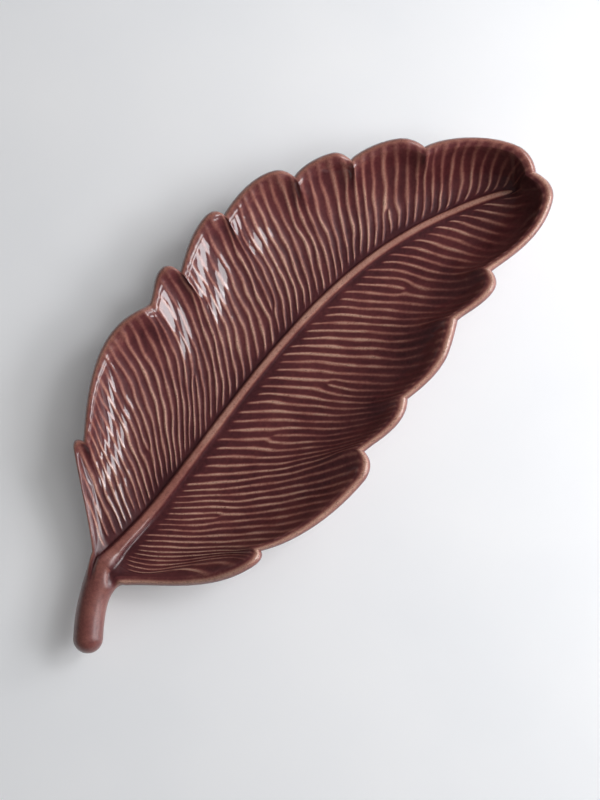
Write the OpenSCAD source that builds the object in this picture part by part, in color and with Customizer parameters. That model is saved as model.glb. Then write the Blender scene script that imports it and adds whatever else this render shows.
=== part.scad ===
// Shallow glazed dish shaped as one broad leaf, with a scalloped rim, moulded
// veins, a raised midrib and a short round stem to hold it by.
// The leaf lies along +X from stem to tip and stands on its foot ring at z = 0.

/* [Blade] */
// Length of the blade, from the stem to the furthest lobe
blade_l = 250; // [200:5:300]
// Width that the outline's shares are taken of
blade_w = 125; // [100:5:150]
// Height of the rim over the table
rim_z = 28; // [22:1:36]
// Height of the rim where it runs into the stem
rim_base_z = 17.5; // [16:0.5:20]
// Thickness of the floor at the midrib
floor_t = 3.6; // [3:0.2:5]
// Extra thickness of the floor where the stem joins it
root_t = 2.6; // [1:0.2:3]
// Thickness of the flared wall
wall_t = 4.4; // [3.5:0.1:5.5]
// Flare of the wall at the rim, in degrees from the table
flare = 46; // [35:1:55]

/* [Rim] */
// Width of the rounded lip, along the veins
rim_w = 5; // [4:0.5:6]
// Height of the lip's round over the wall inside it
rim_bead_h = 1.1; // [0.6:0.1:1.6]
// Rise of the rim from each notch to the knob at the end of the lobe
knob_rise = 1.8; // [0:0.2:3]
// Depth of the pocket behind each knob
pocket_h = 0.8; // [0:0.1:1.4]

/* [Midrib and veins] */
// Width of the midrib at the stem, without its flare at the neck
midrib_w = 7; // [5:0.2:8]
// Height of the midrib over the floor at the stem
midrib_h = 3; // [2:0.2:4]
// Height of a vein over its grooves
vein_h = 0.5; // [0.3:0.1:1.2]

/* [Stem] */
// Diameter of the stem
stem_d = 12.2; // [10:0.2:13]
// Height of the stem's axis over the table
stem_z = 13.4; // [12.8:0.2:14]
// Reach of the stem behind the blade, to the middle of its round end
stem_l = 26; // [18:1:36]
// Sideways bend of the stem
stem_bend = 14; // [8:1:18]

/* [Foot] */
// Height of the foot ring
foot_h = 5; // [4.6:0.2:6]
// Width of the foot ring's wall
foot_w = 4; // [3:0.5:6]

/* [Hidden] */

glaze = "#7d4a45";
glaze_thin = "#a87562";
bare_clay = "#c9b49a";

LEFT = 1;
RIGHT = -1;

// Each lobe of the outline, from its notch to its knob: the notch, two handles,
// the knob, and the handle of the short turn back to the next notch. Shares of
// blade_l and blade_w, sideways from the line that runs from the stem.
left_lobe_shares = [
    [[0, 0.054], [0.030, 0.128], [0.064, 0.244], [0.098, 0.334], [0.111, 0.362]],
    [[0.118, 0.327], [0.184, 0.436], [0.256, 0.560], [0.336, 0.502], [0.346, 0.495]],
    [[0.357, 0.497], [0.380, 0.516], [0.392, 0.556], [0.416, 0.550], [0.432, 0.542]],
    [[0.431, 0.500], [0.448, 0.520], [0.492, 0.576], [0.530, 0.574], [0.554, 0.573]],
    [[0.553, 0.536], [0.572, 0.548], [0.628, 0.568], [0.664, 0.524], [0.684, 0.504]],
    [[0.685, 0.460], [0.704, 0.470], [0.736, 0.456], [0.760, 0.422], [0.774, 0.400]],
    [[0.774, 0.365], [0.792, 0.368], [0.834, 0.340], [0.859, 0.293], [0.878, 0.256]],
    [[0.879, 0.216], [0.916, 0.196], [0.976, 0.088], [0.990, -0.020], [0.996, -0.080]]
];
right_lobe_shares = [
    [[0, -0.106], [0.040, -0.180], [0.088, -0.328], [0.164, -0.366], [0.190, -0.378]],
    [[0.194, -0.350], [0.240, -0.408], [0.312, -0.444], [0.394, -0.432], [0.426, -0.420]],
    [[0.428, -0.365], [0.448, -0.368], [0.480, -0.389], [0.508, -0.378], [0.528, -0.370]],
    [[0.541, -0.346], [0.564, -0.352], [0.612, -0.368], [0.648, -0.333], [0.676, -0.307]],
    [[0.696, -0.282], [0.712, -0.283], [0.740, -0.307], [0.770, -0.301], [0.794, -0.294]],
    [[0.798, -0.248], [0.832, -0.256], [0.896, -0.296], [0.954, -0.234], [0.988, -0.200]]
];
tip_notch_share = [0.978, -0.120];

// Veins in each lobe, and the share of the midrib where each lobe's first vein starts.
left_vein_counts = [4, 16, 5, 8, 9, 5, 7, 11];
right_vein_counts = [8, 11, 10, 10, 7, 12];
left_start_shares = [0, 0.06, 0.26, 0.34, 0.50, 0.645, 0.715, 0.83, 1];
right_start_shares = [0, 0.055, 0.195, 0.39, 0.57, 0.715, 1];
// Veins next to the stem that stay flat
left_bare_veins = 1;
right_bare_veins = 2;

// Headings of the veins at the midrib, at their outer end, and across the rim, in
// degrees from the leaf's length, at each notch from the stem to the tip.
left_start_headings = [90, 68, 46, 44, 46, 48, 42, 30, -33];
left_end_headings = [90, 60, 84, 80, 69, 60, 50, 37, -29];
left_rim_headings = [90, 82, 88, 86, 80, 72, 62, 50, -29];
right_start_headings = [-90, -50, -42, -40, -40, -40, -33];
right_end_headings = [-90, -40, -32, -30, -32, -34, -29];
right_rim_headings = [-90, -62, -56, -52, -54, -56, -29];
start_handle_share = 0.42;
end_handle_share = 0.32;
// Part of each lobe's outline parameter that its turn back to the notch takes
turn_share = 0.16;
// How the veins of each lobe are spread over its outline: how much wider apart they
// end near the notch, and the part of them that ends in the turn
left_pace_shares = [[0.3, 0.24], [0, 0.12], [0, 0.30], [0, 0.23],
    [0, 0.22], [0, 0.26], [0, 0.31], [0, 0.24]];
right_pace_shares = [[0.5, 0.5], [0.45, 0.28], [0, 0.36], [0, 0.34], [0, 0.36], [0, 0.27]];

// The midrib's line, as shares of blade_l and blade_w
midrib_shares = [[0, 0], [0.280, 0], [0.640, 0.304], [0.946, -0.094]];
// How the midrib's width and height taper from the stem to the tip
midrib_w_shares = [1, 0.3, 0.8, 0.42];
midrib_h_shares = [1, 0.35, 0.7, 0.3];
// The midrib's round back: its crest and shoulders, as shares of its half width and height
crest_share = [0, 1];
shoulder_share = [0.66, 0.77];
// The neck, where the blade gathers into the stem: share of the midrib over which the
// midrib flares, and by how much on each side
neck_share = 0.06;
left_neck_spread_share = 0;
right_neck_spread_share = 0.45;
// The collar at the very end of the blade: share of the midrib that it takes, rise of
// the floor there, and what the midrib's height and the lip's bead lose
collar_share = 0.034;
collar_rise_share = 0.12;
collar_sink_share = 0.35;
collar_bead_share = 0.8;

// Height left of a vein where it runs into the lip, as a share of vein_h
vein_rim_share = 0.6;
// How late along a vein that loss of height comes, and how late in a lobe its rim climbs
vein_fade_power = 4;
knob_power = 2;

// Rows of the vanes from midrib to rim, and how the floor rises along them
row_shares = [0, 0.06, 0.15, 0.3, 0.49, 0.64, 0.78, 0.9, 1];
profile_power = 2.9;
// The underside is flat out to this row, for the foot ring to stand under
flat_share = row_shares[4];
// Bend of the wall behind the knobs: nearly all of pocket_h is reached three quarters of
// the way out. It sets in where the rim has climbed to this share
pocket_gain = 9;
pocket_power = 3;
pocket_from_share = 0.8;
// Rounding of the crease that each notch would leave down the wall: its width in veins,
// the part of a vein over which it fades at the lip, where along a vein it sets in, and
// the veins at the stem and at the tip over which it does
crease_veins = 1.3;
crease_reach_share = 0.3;
crease_from_shares = [0.15, 0.5];
crease_end_veins = 6;
// The rounding looks this many widths to each side
crease_tails = 3;
// Shares of the midrib over which the floor climbs to the stem and to the tip
stem_climb_share = 0.15;
tip_climb_share = 0.12;
// Rise of the floor at the stem and at the tip, as shares of the height from floor to rim
stem_rise_share = 0.32;
tip_rise_share = 0.2;
// Width of the lip at the stem, as a share of its full width, and the share of
// the blade over which the lip and the rim reach their full size
left_lip_base_share = 0.5;
right_lip_base_share = 1;
lip_climb_share = 0.18;
// The lip's round: place across the lip from its inner edge, and height, as
// shares of rim_w and wall_t
lip_shares = [[0.34, -0.03], [0.70, 0], [1, -0.40], [0.92, -0.80]];

// The stem's line, as shares of stem_l back from the blade and of stem_bend sideways
stem_shares = [[0, 0], [0.36, 0], [0.72, 0.52], [1, 1]];
// Share of the stem's length over which it narrows from the blade, how fast it starts
// to, and the share over which it leaves the blade's section for a round one
stem_blend_share = 0.7;
stem_blend_power = 3.4;
stem_fill_share = 0.3;
stem_rings = 12;
cap_rings = 4;

// The foot ring's ends on the leaf's length, and how far it bulges to each side,
// as shares of blade_l and blade_w
foot_end_shares = [[0.17, 0.016], [0.82, 0.032]];
foot_left_share = 0.30;
foot_right_share = -0.16;
foot_steps = 40;

floor_z = foot_h + floor_t;

function clamp01(v) = min(max(v, 0), 1);
function smooth(v) = let (c = clamp01(v)) c * c * (3 - 2 * c);
function mix(a, b, v) = a + (b - a) * v;
function unit(v) = v / norm(v);
function heading(deg) = [cos(deg), sin(deg)];
function on_blade(share) = [share[0] * blade_l, share[1] * blade_w];
function bezier2(p, v) = let (w = 1 - v) w * w * p[0] + 2 * w * v * p[1] + v * v * p[2];
function bezier3(p, v) =
    let (w = 1 - v)
    w * w * w * p[0] + 3 * w * w * v * p[1] + 3 * w * v * v * p[2] + v * v * v * p[3];
function bezier3_way(p, v) =
    let (w = 1 - v)
    w * w * (p[1] - p[0]) + 2 * w * v * (p[2] - p[1]) + v * v * (p[3] - p[2]);

midrib_line = [for (s = midrib_shares) on_blade(s)];

// Outline point of lobe i at share v of its veins
function outline(lobes, i, v) =
    let (
        l = [for (s = lobes[i]) on_blade(s)],
        next = on_blade(i + 1 < len(lobes) ? lobes[i + 1][0] : tip_notch_share),
        turn = 1 - turn_share
    )
    v <= turn
        ? bezier3([l[0], l[1], l[2], l[3]], v / turn)
        : bezier2([l[3], l[4], next], (v - turn) / turn_share);

// Place on its lobe's outline, from notch to notch, of the vein at share v
function paced(v, pace) =
    let (
        along = clamp01(v / (1 - pace[1])),
        back = clamp01((v - 1 + pace[1]) / pace[1])
    )
    (1 - turn_share) * (along + pace[0] * along * (1 - along)) + turn_share * back;

// Height of the rim over its lobe's notch: it climbs to the knob and drops in the turn
function knob(v) =
    let (turn = 1 - turn_share)
    v <= turn ? pow(v / turn, knob_power) : smooth((1 - v) / turn_share);

// One column of a vane, from the midrib's edge to the outline: its share of the midrib,
// its curve in plan, its outline point, the way across the lip and the lip's share, then
// the floor, the rim, the pocket, the thickness, the lip's bead and the midrib's height
function column(side, i, v, last) =
    let (
        left = side == LEFT,
        lobes = left ? left_lobe_shares : right_lobe_shares,
        starts = left ? left_start_shares : right_start_shares,
        begins = left ? left_start_headings : right_start_headings,
        ends = left ? left_end_headings : right_end_headings,
        rims = left ? left_rim_headings : right_rim_headings,
        w = paced(v, left ? left_pace_shares[i] : right_pace_shares[i]),
        u = mix(starts[i], starts[i + 1], v),
        neck = 1 - smooth(u / neck_share),
        collar = 1 - smooth(u / collar_share),
        axis = unit(bezier3_way(midrib_line, u)),
        spread = 1 + (left ? left_neck_spread_share : right_neck_spread_share) * neck,
        half_w = last ? 0 : midrib_w / 2 * bezier3(midrib_w_shares, u) * spread,
        edge = bezier3(midrib_line, u) + side * half_w * (u == 0 ? [0, 1] : [-axis[1], axis[0]]),
        outer = outline(lobes, i, w),
        climb = smooth(outer[0] / blade_l / lip_climb_share),
        lip = mix(left ? left_lip_base_share : right_lip_base_share, 1, climb),
        across = heading(mix(rims[i], rims[i + 1], v)),
        inner = outer - across * rim_w * lip,
        reach = norm(inner - edge),
        line = [
            edge,
            edge + reach * start_handle_share * heading(mix(begins[i], begins[i + 1], v)),
            inner - reach * end_handle_share * heading(mix(ends[i], ends[i + 1], v)),
            inner
        ],
        stem = 1 - smooth(u / stem_climb_share),
        tip = smooth((u - 1 + tip_climb_share) / tip_climb_share),
        rise = stem_rise_share * stem + tip_rise_share * tip + collar_rise_share * collar,
        floor_here = mix(floor_z, rim_z, rise),
        rim_here = mix(rim_base_z, rim_z, climb) + knob_rise * knob(w) * climb,
        pocketed = smooth((climb - pocket_from_share) / (1 - pocket_from_share)),
        pocket_here = pocket_h * pocket_gain * (1 - 2 * knob(w)) * pocketed,
        bead_here = rim_bead_h * (1 - collar_bead_share * collar),
        rib_here = midrib_h * bezier3(midrib_h_shares, u) * (1 - collar_sink_share * collar)
    )
    [u, line, outer, across, lip, floor_here, rim_here, pocket_here, floor_t + root_t * stem,
        bead_here, rib_here];

function columns(side) =
    let (counts = side == LEFT ? left_vein_counts : right_vein_counts)
    concat(
        [for (i = [0 : len(counts) - 1], k = [0 : 2 * counts[i] - 1])
            column(side, i, k / (2 * counts[i]), false)],
        [column(side, len(counts) - 1, 1, true)]
    );

left_columns = columns(LEFT);
right_columns = columns(RIGHT);
last_row = len(row_shares) - 1;

// Smooth top of the floor and wall in column c at share t of its length
function smooth_top(c, t) =
    let (
        pocket = c[7] * pow(t, pocket_power) * (1 - t),
        z = mix(c[5], c[6] - c[9], pow(t, profile_power)) + pocket,
        p = bezier3(c[1], t)
    )
    [p[0], p[1], z];

// Underside below the same share: flat over the foot ring, then along the wall
function smooth_under(c, t) =
    let (
        p = smooth_top(c, t),
        way = t == 0 ? [0, 0] : t == 1 ? c[3] : unit(bezier3_way(c[1], t)),
        out = wall_t * sin(flare) * c[4] * pow(t, profile_power),
        flat_z = c[5] - c[8],
        root = c[8] - floor_t,
        down = t <= flat_share
            ? p[2] - flat_z
            : mix(smooth_top(c, flat_share)[2] - flat_z, wall_t * cos(flare) + root,
                  (t - flat_share) / (1 - flat_share))
    )
    [p[0] + way[0] * out, p[1] + way[1] * out, p[2] - down];

// A row of points carried on past its ends
function carried_on(row, k) =
    let (end = len(row) - 1)
    k < 0 ? 2 * row[0] - row[-k] : k > end ? 2 * row[end] - row[2 * end - k] : row[k];

// A row at share t with each point averaged with its neighbours, two columns to a vein
function softened(row, t) =
    let (
        begin = crease_from_shares[0],
        fade_in = smooth((t - begin) / (crease_from_shares[1] - begin)),
        width = 2 * crease_veins * smooth((1 - t) / crease_reach_share) * fade_in,
        n = floor(crease_tails * width)
    )
    n == 0 ? row :
    let (
        weights = [for (j = [-n : n]) exp(-pow(j / width, 2) / 2)],
        whole = weights * [for (w = weights) 1]
    )
    [for (k = [0 : len(row) - 1])
        mix(row[k], weights * [for (j = [-n : n]) carried_on(row, k + j)] / whole,
            smooth(min(k, len(row) - 1 - k) / 2 / crease_end_veins))];

// All rows of the top and of the underside; the flat part of the underside stays as it is
function top_rows(cols) = [for (t = row_shares) softened([for (c = cols) smooth_top(c, t)], t)];
function under_rows(cols) =
    [for (t = row_shares) softened([for (c = cols) smooth_under(c, t)], t > flat_share ? t : 0)];

left_tops = top_rows(left_columns);
right_tops = top_rows(right_columns);
left_unders = under_rows(left_columns);
right_unders = under_rows(right_columns);

// Top point of column k at row r; every second column is the crest of a vein
function top_point(side, k, r) =
    let (
        t = row_shares[r],
        bare = side == LEFT ? left_bare_veins : right_bare_veins,
        fade = mix(1, vein_rim_share, pow(t, vein_fade_power)),
        crest = k % 2 == 1 && k > 2 * bare ? vein_h * smooth(t / row_shares[2]) * fade : 0
    )
    (side == LEFT ? left_tops : right_tops)[r][k] + [0, 0, crest];

function under_point(side, k, r) = (side == LEFT ? left_unders : right_unders)[r][k];

// Section of the lip in column k, from the wall's top, over the round and back under it
function lip_point(side, k, j) =
    j == 0 ? top_point(side, k, last_row) :
    j == len(lip_shares) + 1 ? under_point(side, k, last_row) :
    let (
        c = (side == LEFT ? left_columns : right_columns)[k],
        s = lip_shares[j - 1],
        p = c[1][3] + c[3] * rim_w * c[4] * s[0]
    )
    [p[0], p[1], c[6] + wall_t * s[1]];

function xs(pts) = [for (p = pts) p[0]];
function ys(pts) = [for (p = pts) p[1]];

// Triangles between two rows of vertex numbers of equal length
function strip(a, b) =
    [for (k = [0 : len(a) - 2], t = [[a[k], a[k + 1], b[k + 1]], [a[k], b[k + 1], b[k]]]) t];

// Triangles between two rows whose points lie at different places ka and kb along them
function zip(a, b, ka, kb, i = 0, j = 0) =
    i == len(a) - 1 && j == len(b) - 1 ? [] :
    j == len(b) - 1 || (i < len(a) - 1 && ka[i + 1] <= kb[j + 1])
        ? concat([[a[i], a[i + 1], b[j]]], zip(a, b, ka, kb, i + 1, j))
        : concat([[a[i], b[j + 1], b[j]]], zip(a, b, ka, kb, i, j + 1));

function whole(tris) = [for (t = tris) if (t[0] != t[1] && t[1] != t[2] && t[2] != t[0]) t];
function turned(faces) = [for (f = faces) [for (i = [len(f) - 1 : -1 : 0]) f[i]]];
function facing(side, faces) = side == LEFT ? turned(faces) : faces;

module vane(side, n) {
    m = len(row_shares);
    top = [for (k = [0 : n - 1], r = [0 : m - 1]) top_point(side, k, r)];
    under = [for (k = [0 : n - 1], r = [0 : m - 1]) under_point(side, k, r)];
    over = [for (r = [0 : m - 1]) [for (k = [0 : n - 1]) k * m + r]];
    below = [for (row = over) [for (v = row) v + n * m]];
    first = [for (r = [0 : m - 1]) r];
    end = [for (r = [0 : m - 1]) (n - 1) * m + r];
    under_first = [for (v = first) v + n * m];
    under_end = [for (v = end) v + n * m];
    tris = concat(
        [for (r = [0 : m - 2], t = strip(over[r], over[r + 1])) t],
        [for (r = [0 : m - 2], t = turned(strip(below[r], below[r + 1]))) t],
        turned(strip(over[0], below[0])),
        strip(over[m - 1], below[m - 1]),
        strip(first, under_first),
        turned(strip(end, under_end))
    );
    polyhedron(concat(top, under), facing(side, tris), convexity = 10);
}

module lip(side, n) {
    m = len(lip_shares) + 2;
    pts = [for (k = [0 : n - 1], j = [0 : m - 1]) lip_point(side, k, j)];
    rows = [for (j = [0 : m - 1]) [for (k = [0 : n - 1]) k * m + j]];
    tris = concat(
        [for (j = [0 : m - 2], t = strip(rows[j], rows[j + 1])) t],
        turned(strip(rows[0], rows[m - 1]))
    );
    caps = [[for (j = [0 : m - 1]) j], [for (j = [m - 1 : -1 : 0]) (n - 1) * m + j]];
    polyhedron(pts, facing(side, concat(tris, caps)), convexity = 10);
}

// Point on the midrib's back beside column k
function back_point(side, k, share) =
    let (
        c = (side == LEFT ? left_columns : right_columns)[k],
        mid = bezier3(midrib_line, c[0]),
        p = mix(mid, c[1][0], share[0])
    )
    [p[0], p[1], c[5] + c[10] * share[1]];

module midrib_body() {
    nl = len(left_columns) - 1;
    nr = len(right_columns) - 1;
    lines = [
        [for (k = [0 : nl - 1]) under_point(LEFT, k, 0)],
        [for (k = [0 : nl - 1]) top_point(LEFT, k, 0)],
        [for (k = [0 : nl - 1]) back_point(LEFT, k, shoulder_share)],
        [for (k = [0 : nl - 1]) back_point(LEFT, k, crest_share)],
        [for (k = [0 : nr - 1]) back_point(RIGHT, k, shoulder_share)],
        [for (k = [0 : nr - 1]) top_point(RIGHT, k, 0)],
        [for (k = [0 : nr - 1]) under_point(RIGHT, k, 0)]
    ];
    starts = [0, nl, 2 * nl, 3 * nl, 4 * nl, 4 * nl + nr, 4 * nl + 2 * nr];
    tip = 4 * nl + 3 * nr;
    rows = [for (i = [0 : 6])
        concat([for (k = [0 : len(lines[i]) - 1]) starts[i] + k], [i == 0 || i == 6 ? tip + 1 : tip])];
    left_at = [for (c = left_columns) c[0]];
    right_at = [for (c = right_columns) c[0]];
    tris = concat(
        strip(rows[0], rows[1]),
        strip(rows[1], rows[2]),
        strip(rows[2], rows[3]),
        zip(rows[3], rows[4], left_at, right_at),
        strip(rows[4], rows[5]),
        strip(rows[5], rows[6]),
        zip(rows[6], rows[0], right_at, left_at)
    );
    pts = concat(
        [for (l = lines, p = l) p],
        [top_point(LEFT, nl, 0), under_point(LEFT, nl, 0)]
    );
    polyhedron(pts, concat(whole(tris), [starts]), convexity = 10);
}

// Outline of the blade where it meets the stem, all in the plane x = 0
junction = concat(
    [for (r = [0 : last_row]) under_point(LEFT, 0, r)],
    [for (j = [len(lip_shares) : -1 : 1]) lip_point(LEFT, 0, j)],
    [for (r = [last_row : -1 : 0]) top_point(LEFT, 0, r)],
    [back_point(LEFT, 0, shoulder_share)],
    [back_point(LEFT, 0, crest_share)],
    [back_point(RIGHT, 0, shoulder_share)],
    [for (r = [0 : last_row]) top_point(RIGHT, 0, r)],
    [for (j = [1 : len(lip_shares)]) lip_point(RIGHT, 0, j)],
    [for (r = [last_row : -1 : 0]) under_point(RIGHT, 0, r)]
);
junction_y = (max(ys(junction)) + min(ys(junction))) / 2;
junction_half = (max(ys(junction)) - min(ys(junction))) / 2;
junction_steps = [for (k = [0 : len(junction) - 1]) norm(junction[(k + 1) % len(junction)] - junction[k])];
junction_girth = [for (k = 0, run = 0; k < len(junction); run = run + junction_steps[k], k = k + 1) run];
junction_whole = junction_girth[len(junction) - 1] + junction_steps[len(junction) - 1];
junction_angle = atan2(junction[0][2] - stem_z, junction[0][1] - junction_y);
stem_line = [for (s = stem_shares) [-stem_l * s[0], junction_y - stem_bend * s[1]]];

// Ring of the stem round a centre, facing along way: the blade's section, drawn in to half
// the width, and filled out towards an oval of the same width
function stem_ring(centre, way, half, r, fill) =
    [for (k = [0 : len(junction) - 1])
        let (
            a = junction_angle + 360 * junction_girth[k] / junction_whole,
            across = mix((junction[k][1] - junction_y) * half / junction_half, half * cos(a), fill),
            up = mix(junction[k][2] - stem_z, r * sin(a), fill)
        )
        [centre[0] + way[1] * across, centre[1] - way[0] * across, stem_z + up]];

// Face of the stem against the blade, in the junction's vertex numbers
function fan(loop) = [for (i = [1 : len(loop) - 2]) [loop[0], loop[i], loop[i + 1]]];
left_under = [for (r = [0 : last_row]) r];
left_lip = [for (j = [0 : len(lip_shares) + 1]) last_row + j];
left_over = [for (r = [0 : last_row]) left_lip[len(left_lip) - 1] + last_row - r];
back = [for (k = [0 : 4]) left_over[0] + k];
right_over = [for (r = [0 : last_row]) back[4] + r];
right_lip = [for (j = [0 : len(lip_shares) + 1]) right_over[last_row] + j];
right_under = [for (r = [0 : last_row]) len(junction) - 1 - r];
junction_face = concat(
    strip(left_under, left_over),
    fan(left_lip),
    fan(concat([0], back, [len(junction) - 1])),
    strip(right_over, right_under),
    fan(right_lip)
);

stem_end_way = unit(bezier3_way(stem_line, 1));
stem_sections = concat(
    [junction],
    [for (k = [1 : stem_rings])
        let (
            v = k / stem_rings,
            to_go = pow(1 - clamp01(v / stem_blend_share), stem_blend_power),
            half = mix(stem_d / 2, junction_half, to_go)
        )
        stem_ring(bezier3(stem_line, v), unit(bezier3_way(stem_line, v)), half, stem_d / 2,
            smooth(v / stem_fill_share))],
    [for (k = [1 : cap_rings])
        let (a = 90 * k / (cap_rings + 1), r = stem_d / 2 * cos(a))
        stem_ring(stem_line[3] + stem_end_way * stem_d / 2 * sin(a), stem_end_way, r, r, 1)]
);
stem_apex = [
    stem_line[3][0] + stem_end_way[0] * stem_d / 2,
    stem_line[3][1] + stem_end_way[1] * stem_d / 2,
    stem_z
];

module stem_body() {
    n = len(junction);
    rings = len(stem_sections);
    loops = [for (i = [0 : rings - 1]) [for (k = [0 : n]) i * n + k % n]];
    tris = concat(
        [for (i = [0 : rings - 2], t = strip(loops[i], loops[i + 1])) t],
        [for (k = [0 : n - 1]) [loops[rings - 1][k], loops[rings - 1][k + 1], rings * n]]
    );
    polyhedron(concat([for (s = stem_sections, p = s) p], [stem_apex]),
        concat(tris, turned(junction_face)), convexity = 6);
}

// Half of the foot ring's outline, bulging to one side between its two ends
function foot_side(bulge_share) =
    let (
        a = on_blade(foot_end_shares[0]),
        b = on_blade(foot_end_shares[1]),
        out = [0, bulge_share * blade_w]
    )
    [for (k = [0 : foot_steps - 1]) bezier3([a, a + out, b + out, b], k / foot_steps)];

foot_outline = concat(foot_side(foot_left_share), [on_blade(foot_end_shares[1])],
    [for (k = [foot_steps - 1 : -1 : 1]) foot_side(foot_right_share)[k]]);

// Centre of the dish's bounding box in plan, which becomes the origin
all_plan = concat(
    [for (c = left_columns) c[2]],
    [for (c = right_columns) c[2]],
    [for (s = stem_sections, p = s) p],
    [stem_apex]
);
centre = [(max(xs(all_plan)) + min(xs(all_plan))) / 2, (max(ys(all_plan)) + min(ys(all_plan))) / 2, 0];

// The vane on the left of the midrib, with its moulded veins
module left_vane() {
    color(glaze) translate(-centre) vane(LEFT, len(left_columns));
}

// The vane on the right of the midrib
module right_vane() {
    color(glaze) translate(-centre) vane(RIGHT, len(right_columns));
}

// Rounded lip along the left vane's lobes
module left_rim() {
    color(glaze_thin) translate(-centre) lip(LEFT, len(left_columns));
}

// Rounded lip along the right vane's lobes
module right_rim() {
    color(glaze_thin) translate(-centre) lip(RIGHT, len(right_columns));
}

// Raised rib from the stem to the tip
module midrib() {
    color(glaze_thin) translate(-centre) midrib_body();
}

// Round stem that serves as the handle
module stem_handle() {
    color(glaze) translate(-centre) stem_body();
}

// Unglazed ring that the dish stands on
module foot_ring() {
    color(bare_clay) translate(-centre) linear_extrude(foot_h) difference() {
        polygon(foot_outline);
        offset(delta = -foot_w) polygon(foot_outline);
    }
}

left_vane();
right_vane();
left_rim();
right_rim();
midrib();
stem_handle();
foot_ring();
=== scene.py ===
"""Looks of a glazed stoneware dish shaped as one broad leaf.

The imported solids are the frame. The glazed members are modelled again on the same
plan, finely enough for wavy, forking veins and a rounded rim, and the normals of
neighbours are joined so that the dish reads as one piece of clay.
"""

import logging
import math
from dataclasses import dataclass, replace
from enum import Enum

import bpy
import numpy as np
from mathutils import Matrix, Vector

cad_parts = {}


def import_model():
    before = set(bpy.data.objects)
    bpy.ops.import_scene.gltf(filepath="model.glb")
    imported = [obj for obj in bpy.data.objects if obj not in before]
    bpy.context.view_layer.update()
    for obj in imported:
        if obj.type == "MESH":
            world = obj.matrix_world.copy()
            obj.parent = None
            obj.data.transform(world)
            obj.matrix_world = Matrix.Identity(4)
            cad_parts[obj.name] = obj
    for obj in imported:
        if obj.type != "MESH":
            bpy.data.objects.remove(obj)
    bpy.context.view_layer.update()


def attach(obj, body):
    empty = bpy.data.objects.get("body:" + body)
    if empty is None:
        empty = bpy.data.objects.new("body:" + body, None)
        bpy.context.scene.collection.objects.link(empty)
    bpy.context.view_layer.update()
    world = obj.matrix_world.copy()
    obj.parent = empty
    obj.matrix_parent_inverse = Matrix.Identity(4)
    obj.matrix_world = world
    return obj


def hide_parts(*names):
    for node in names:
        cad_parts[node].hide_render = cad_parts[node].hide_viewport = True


MM = 0.001
LOG = logging.getLogger("leaf_dish")

Array = np.ndarray
Value = float | np.ndarray
Pair = tuple[float, float]


class Side(Enum):
    """The two halves of the leaf, seen from the stem."""

    LEFT = 1
    RIGHT = -1


class Slot(Enum):
    """Finishes as the record names them."""

    BROWN = "brown_glaze"
    THIN = "thin_glaze"
    CLAY = "bare_clay"


@dataclass(frozen=True)
class LeafSizes:
    """Sizes of the dish in millimetres and degrees, as in the frame."""

    blade_l: float = 250.0
    blade_w: float = 125.0
    rim_z: float = 28.0
    rim_base_z: float = 17.5
    floor_t: float = 3.6
    root_t: float = 2.6
    wall_t: float = 4.4
    flare: float = 46.0
    rim_w: float = 5.0
    rim_bead_h: float = 1.1
    knob_rise: float = 1.8
    pocket_h: float = 0.8
    midrib_w: float = 7.0
    midrib_h: float = 3.0
    vein_h: float = 0.5
    vein_gap: float = 2.7
    stem_d: float = 12.2
    stem_z: float = 13.4
    stem_l: float = 26.0
    stem_bend: float = 14.0
    foot_h: float = 5.0
    foot_w: float = 4.0
    foot_round: float = 0.9


@dataclass(frozen=True)
class LeafShares:
    """Proportions shared by both sides of the leaf.

    A pair for ramp() gives where a change begins and the stretch that it takes.
    """

    tip_notch: Pair = (0.978, -0.120)
    turn: float = 0.16
    start_handle: float = 0.42
    end_handle: float = 0.32
    midrib: tuple = ((0, 0), (0.280, 0), (0.640, 0.304), (0.946, -0.094))
    midrib_w: tuple = (1, 0.3, 0.8, 0.42)
    midrib_h: tuple = (1, 0.35, 0.7, 0.3)
    rib_tip: Pair = (0.975, 0.025)
    rib_fade: float = 0.03
    rib_bell: Pair = (2.2, 0.6)
    profile_power: float = 2.9
    flat: float = 0.49
    pocket_gain: float = 9.0
    pocket_climb: Pair = (0.8, 0.2)
    stem_climb: float = 0.15
    tip_climb: float = 0.12
    stem_rise: float = 0.32
    collar: float = 0.034
    collar_rise: float = 0.12
    collar_sink: float = 0.35
    neck: float = 0.06
    collar_bead: float = 0.8
    tip_rise: float = 0.2
    crease_veins: float = 1.3
    crease_reach: float = 0.3
    crease_from: Pair = (0.15, 0.5)
    crease_end_veins: float = 6.0
    crease_least: float = 0.5
    lip_climb: float = 0.18
    lip: tuple = ((0.34, -0.03), (0.70, 0), (1, -0.40), (0.92, -0.80))
    vein_at_rim: float = 0.62
    vein_rim_power: int = 4
    vein_end: float = 0.5
    stem: tuple = ((0, 0), (0.36, 0), (0.72, 0.52), (1, 1))
    stem_blend: float = 0.7
    stem_blend_power: float = 3.4
    stem_fill: float = 0.3
    foot_ends: tuple = ((0.17, 0.016), (0.82, 0.032))
    foot_left: float = 0.30
    foot_right: float = -0.16


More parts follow.
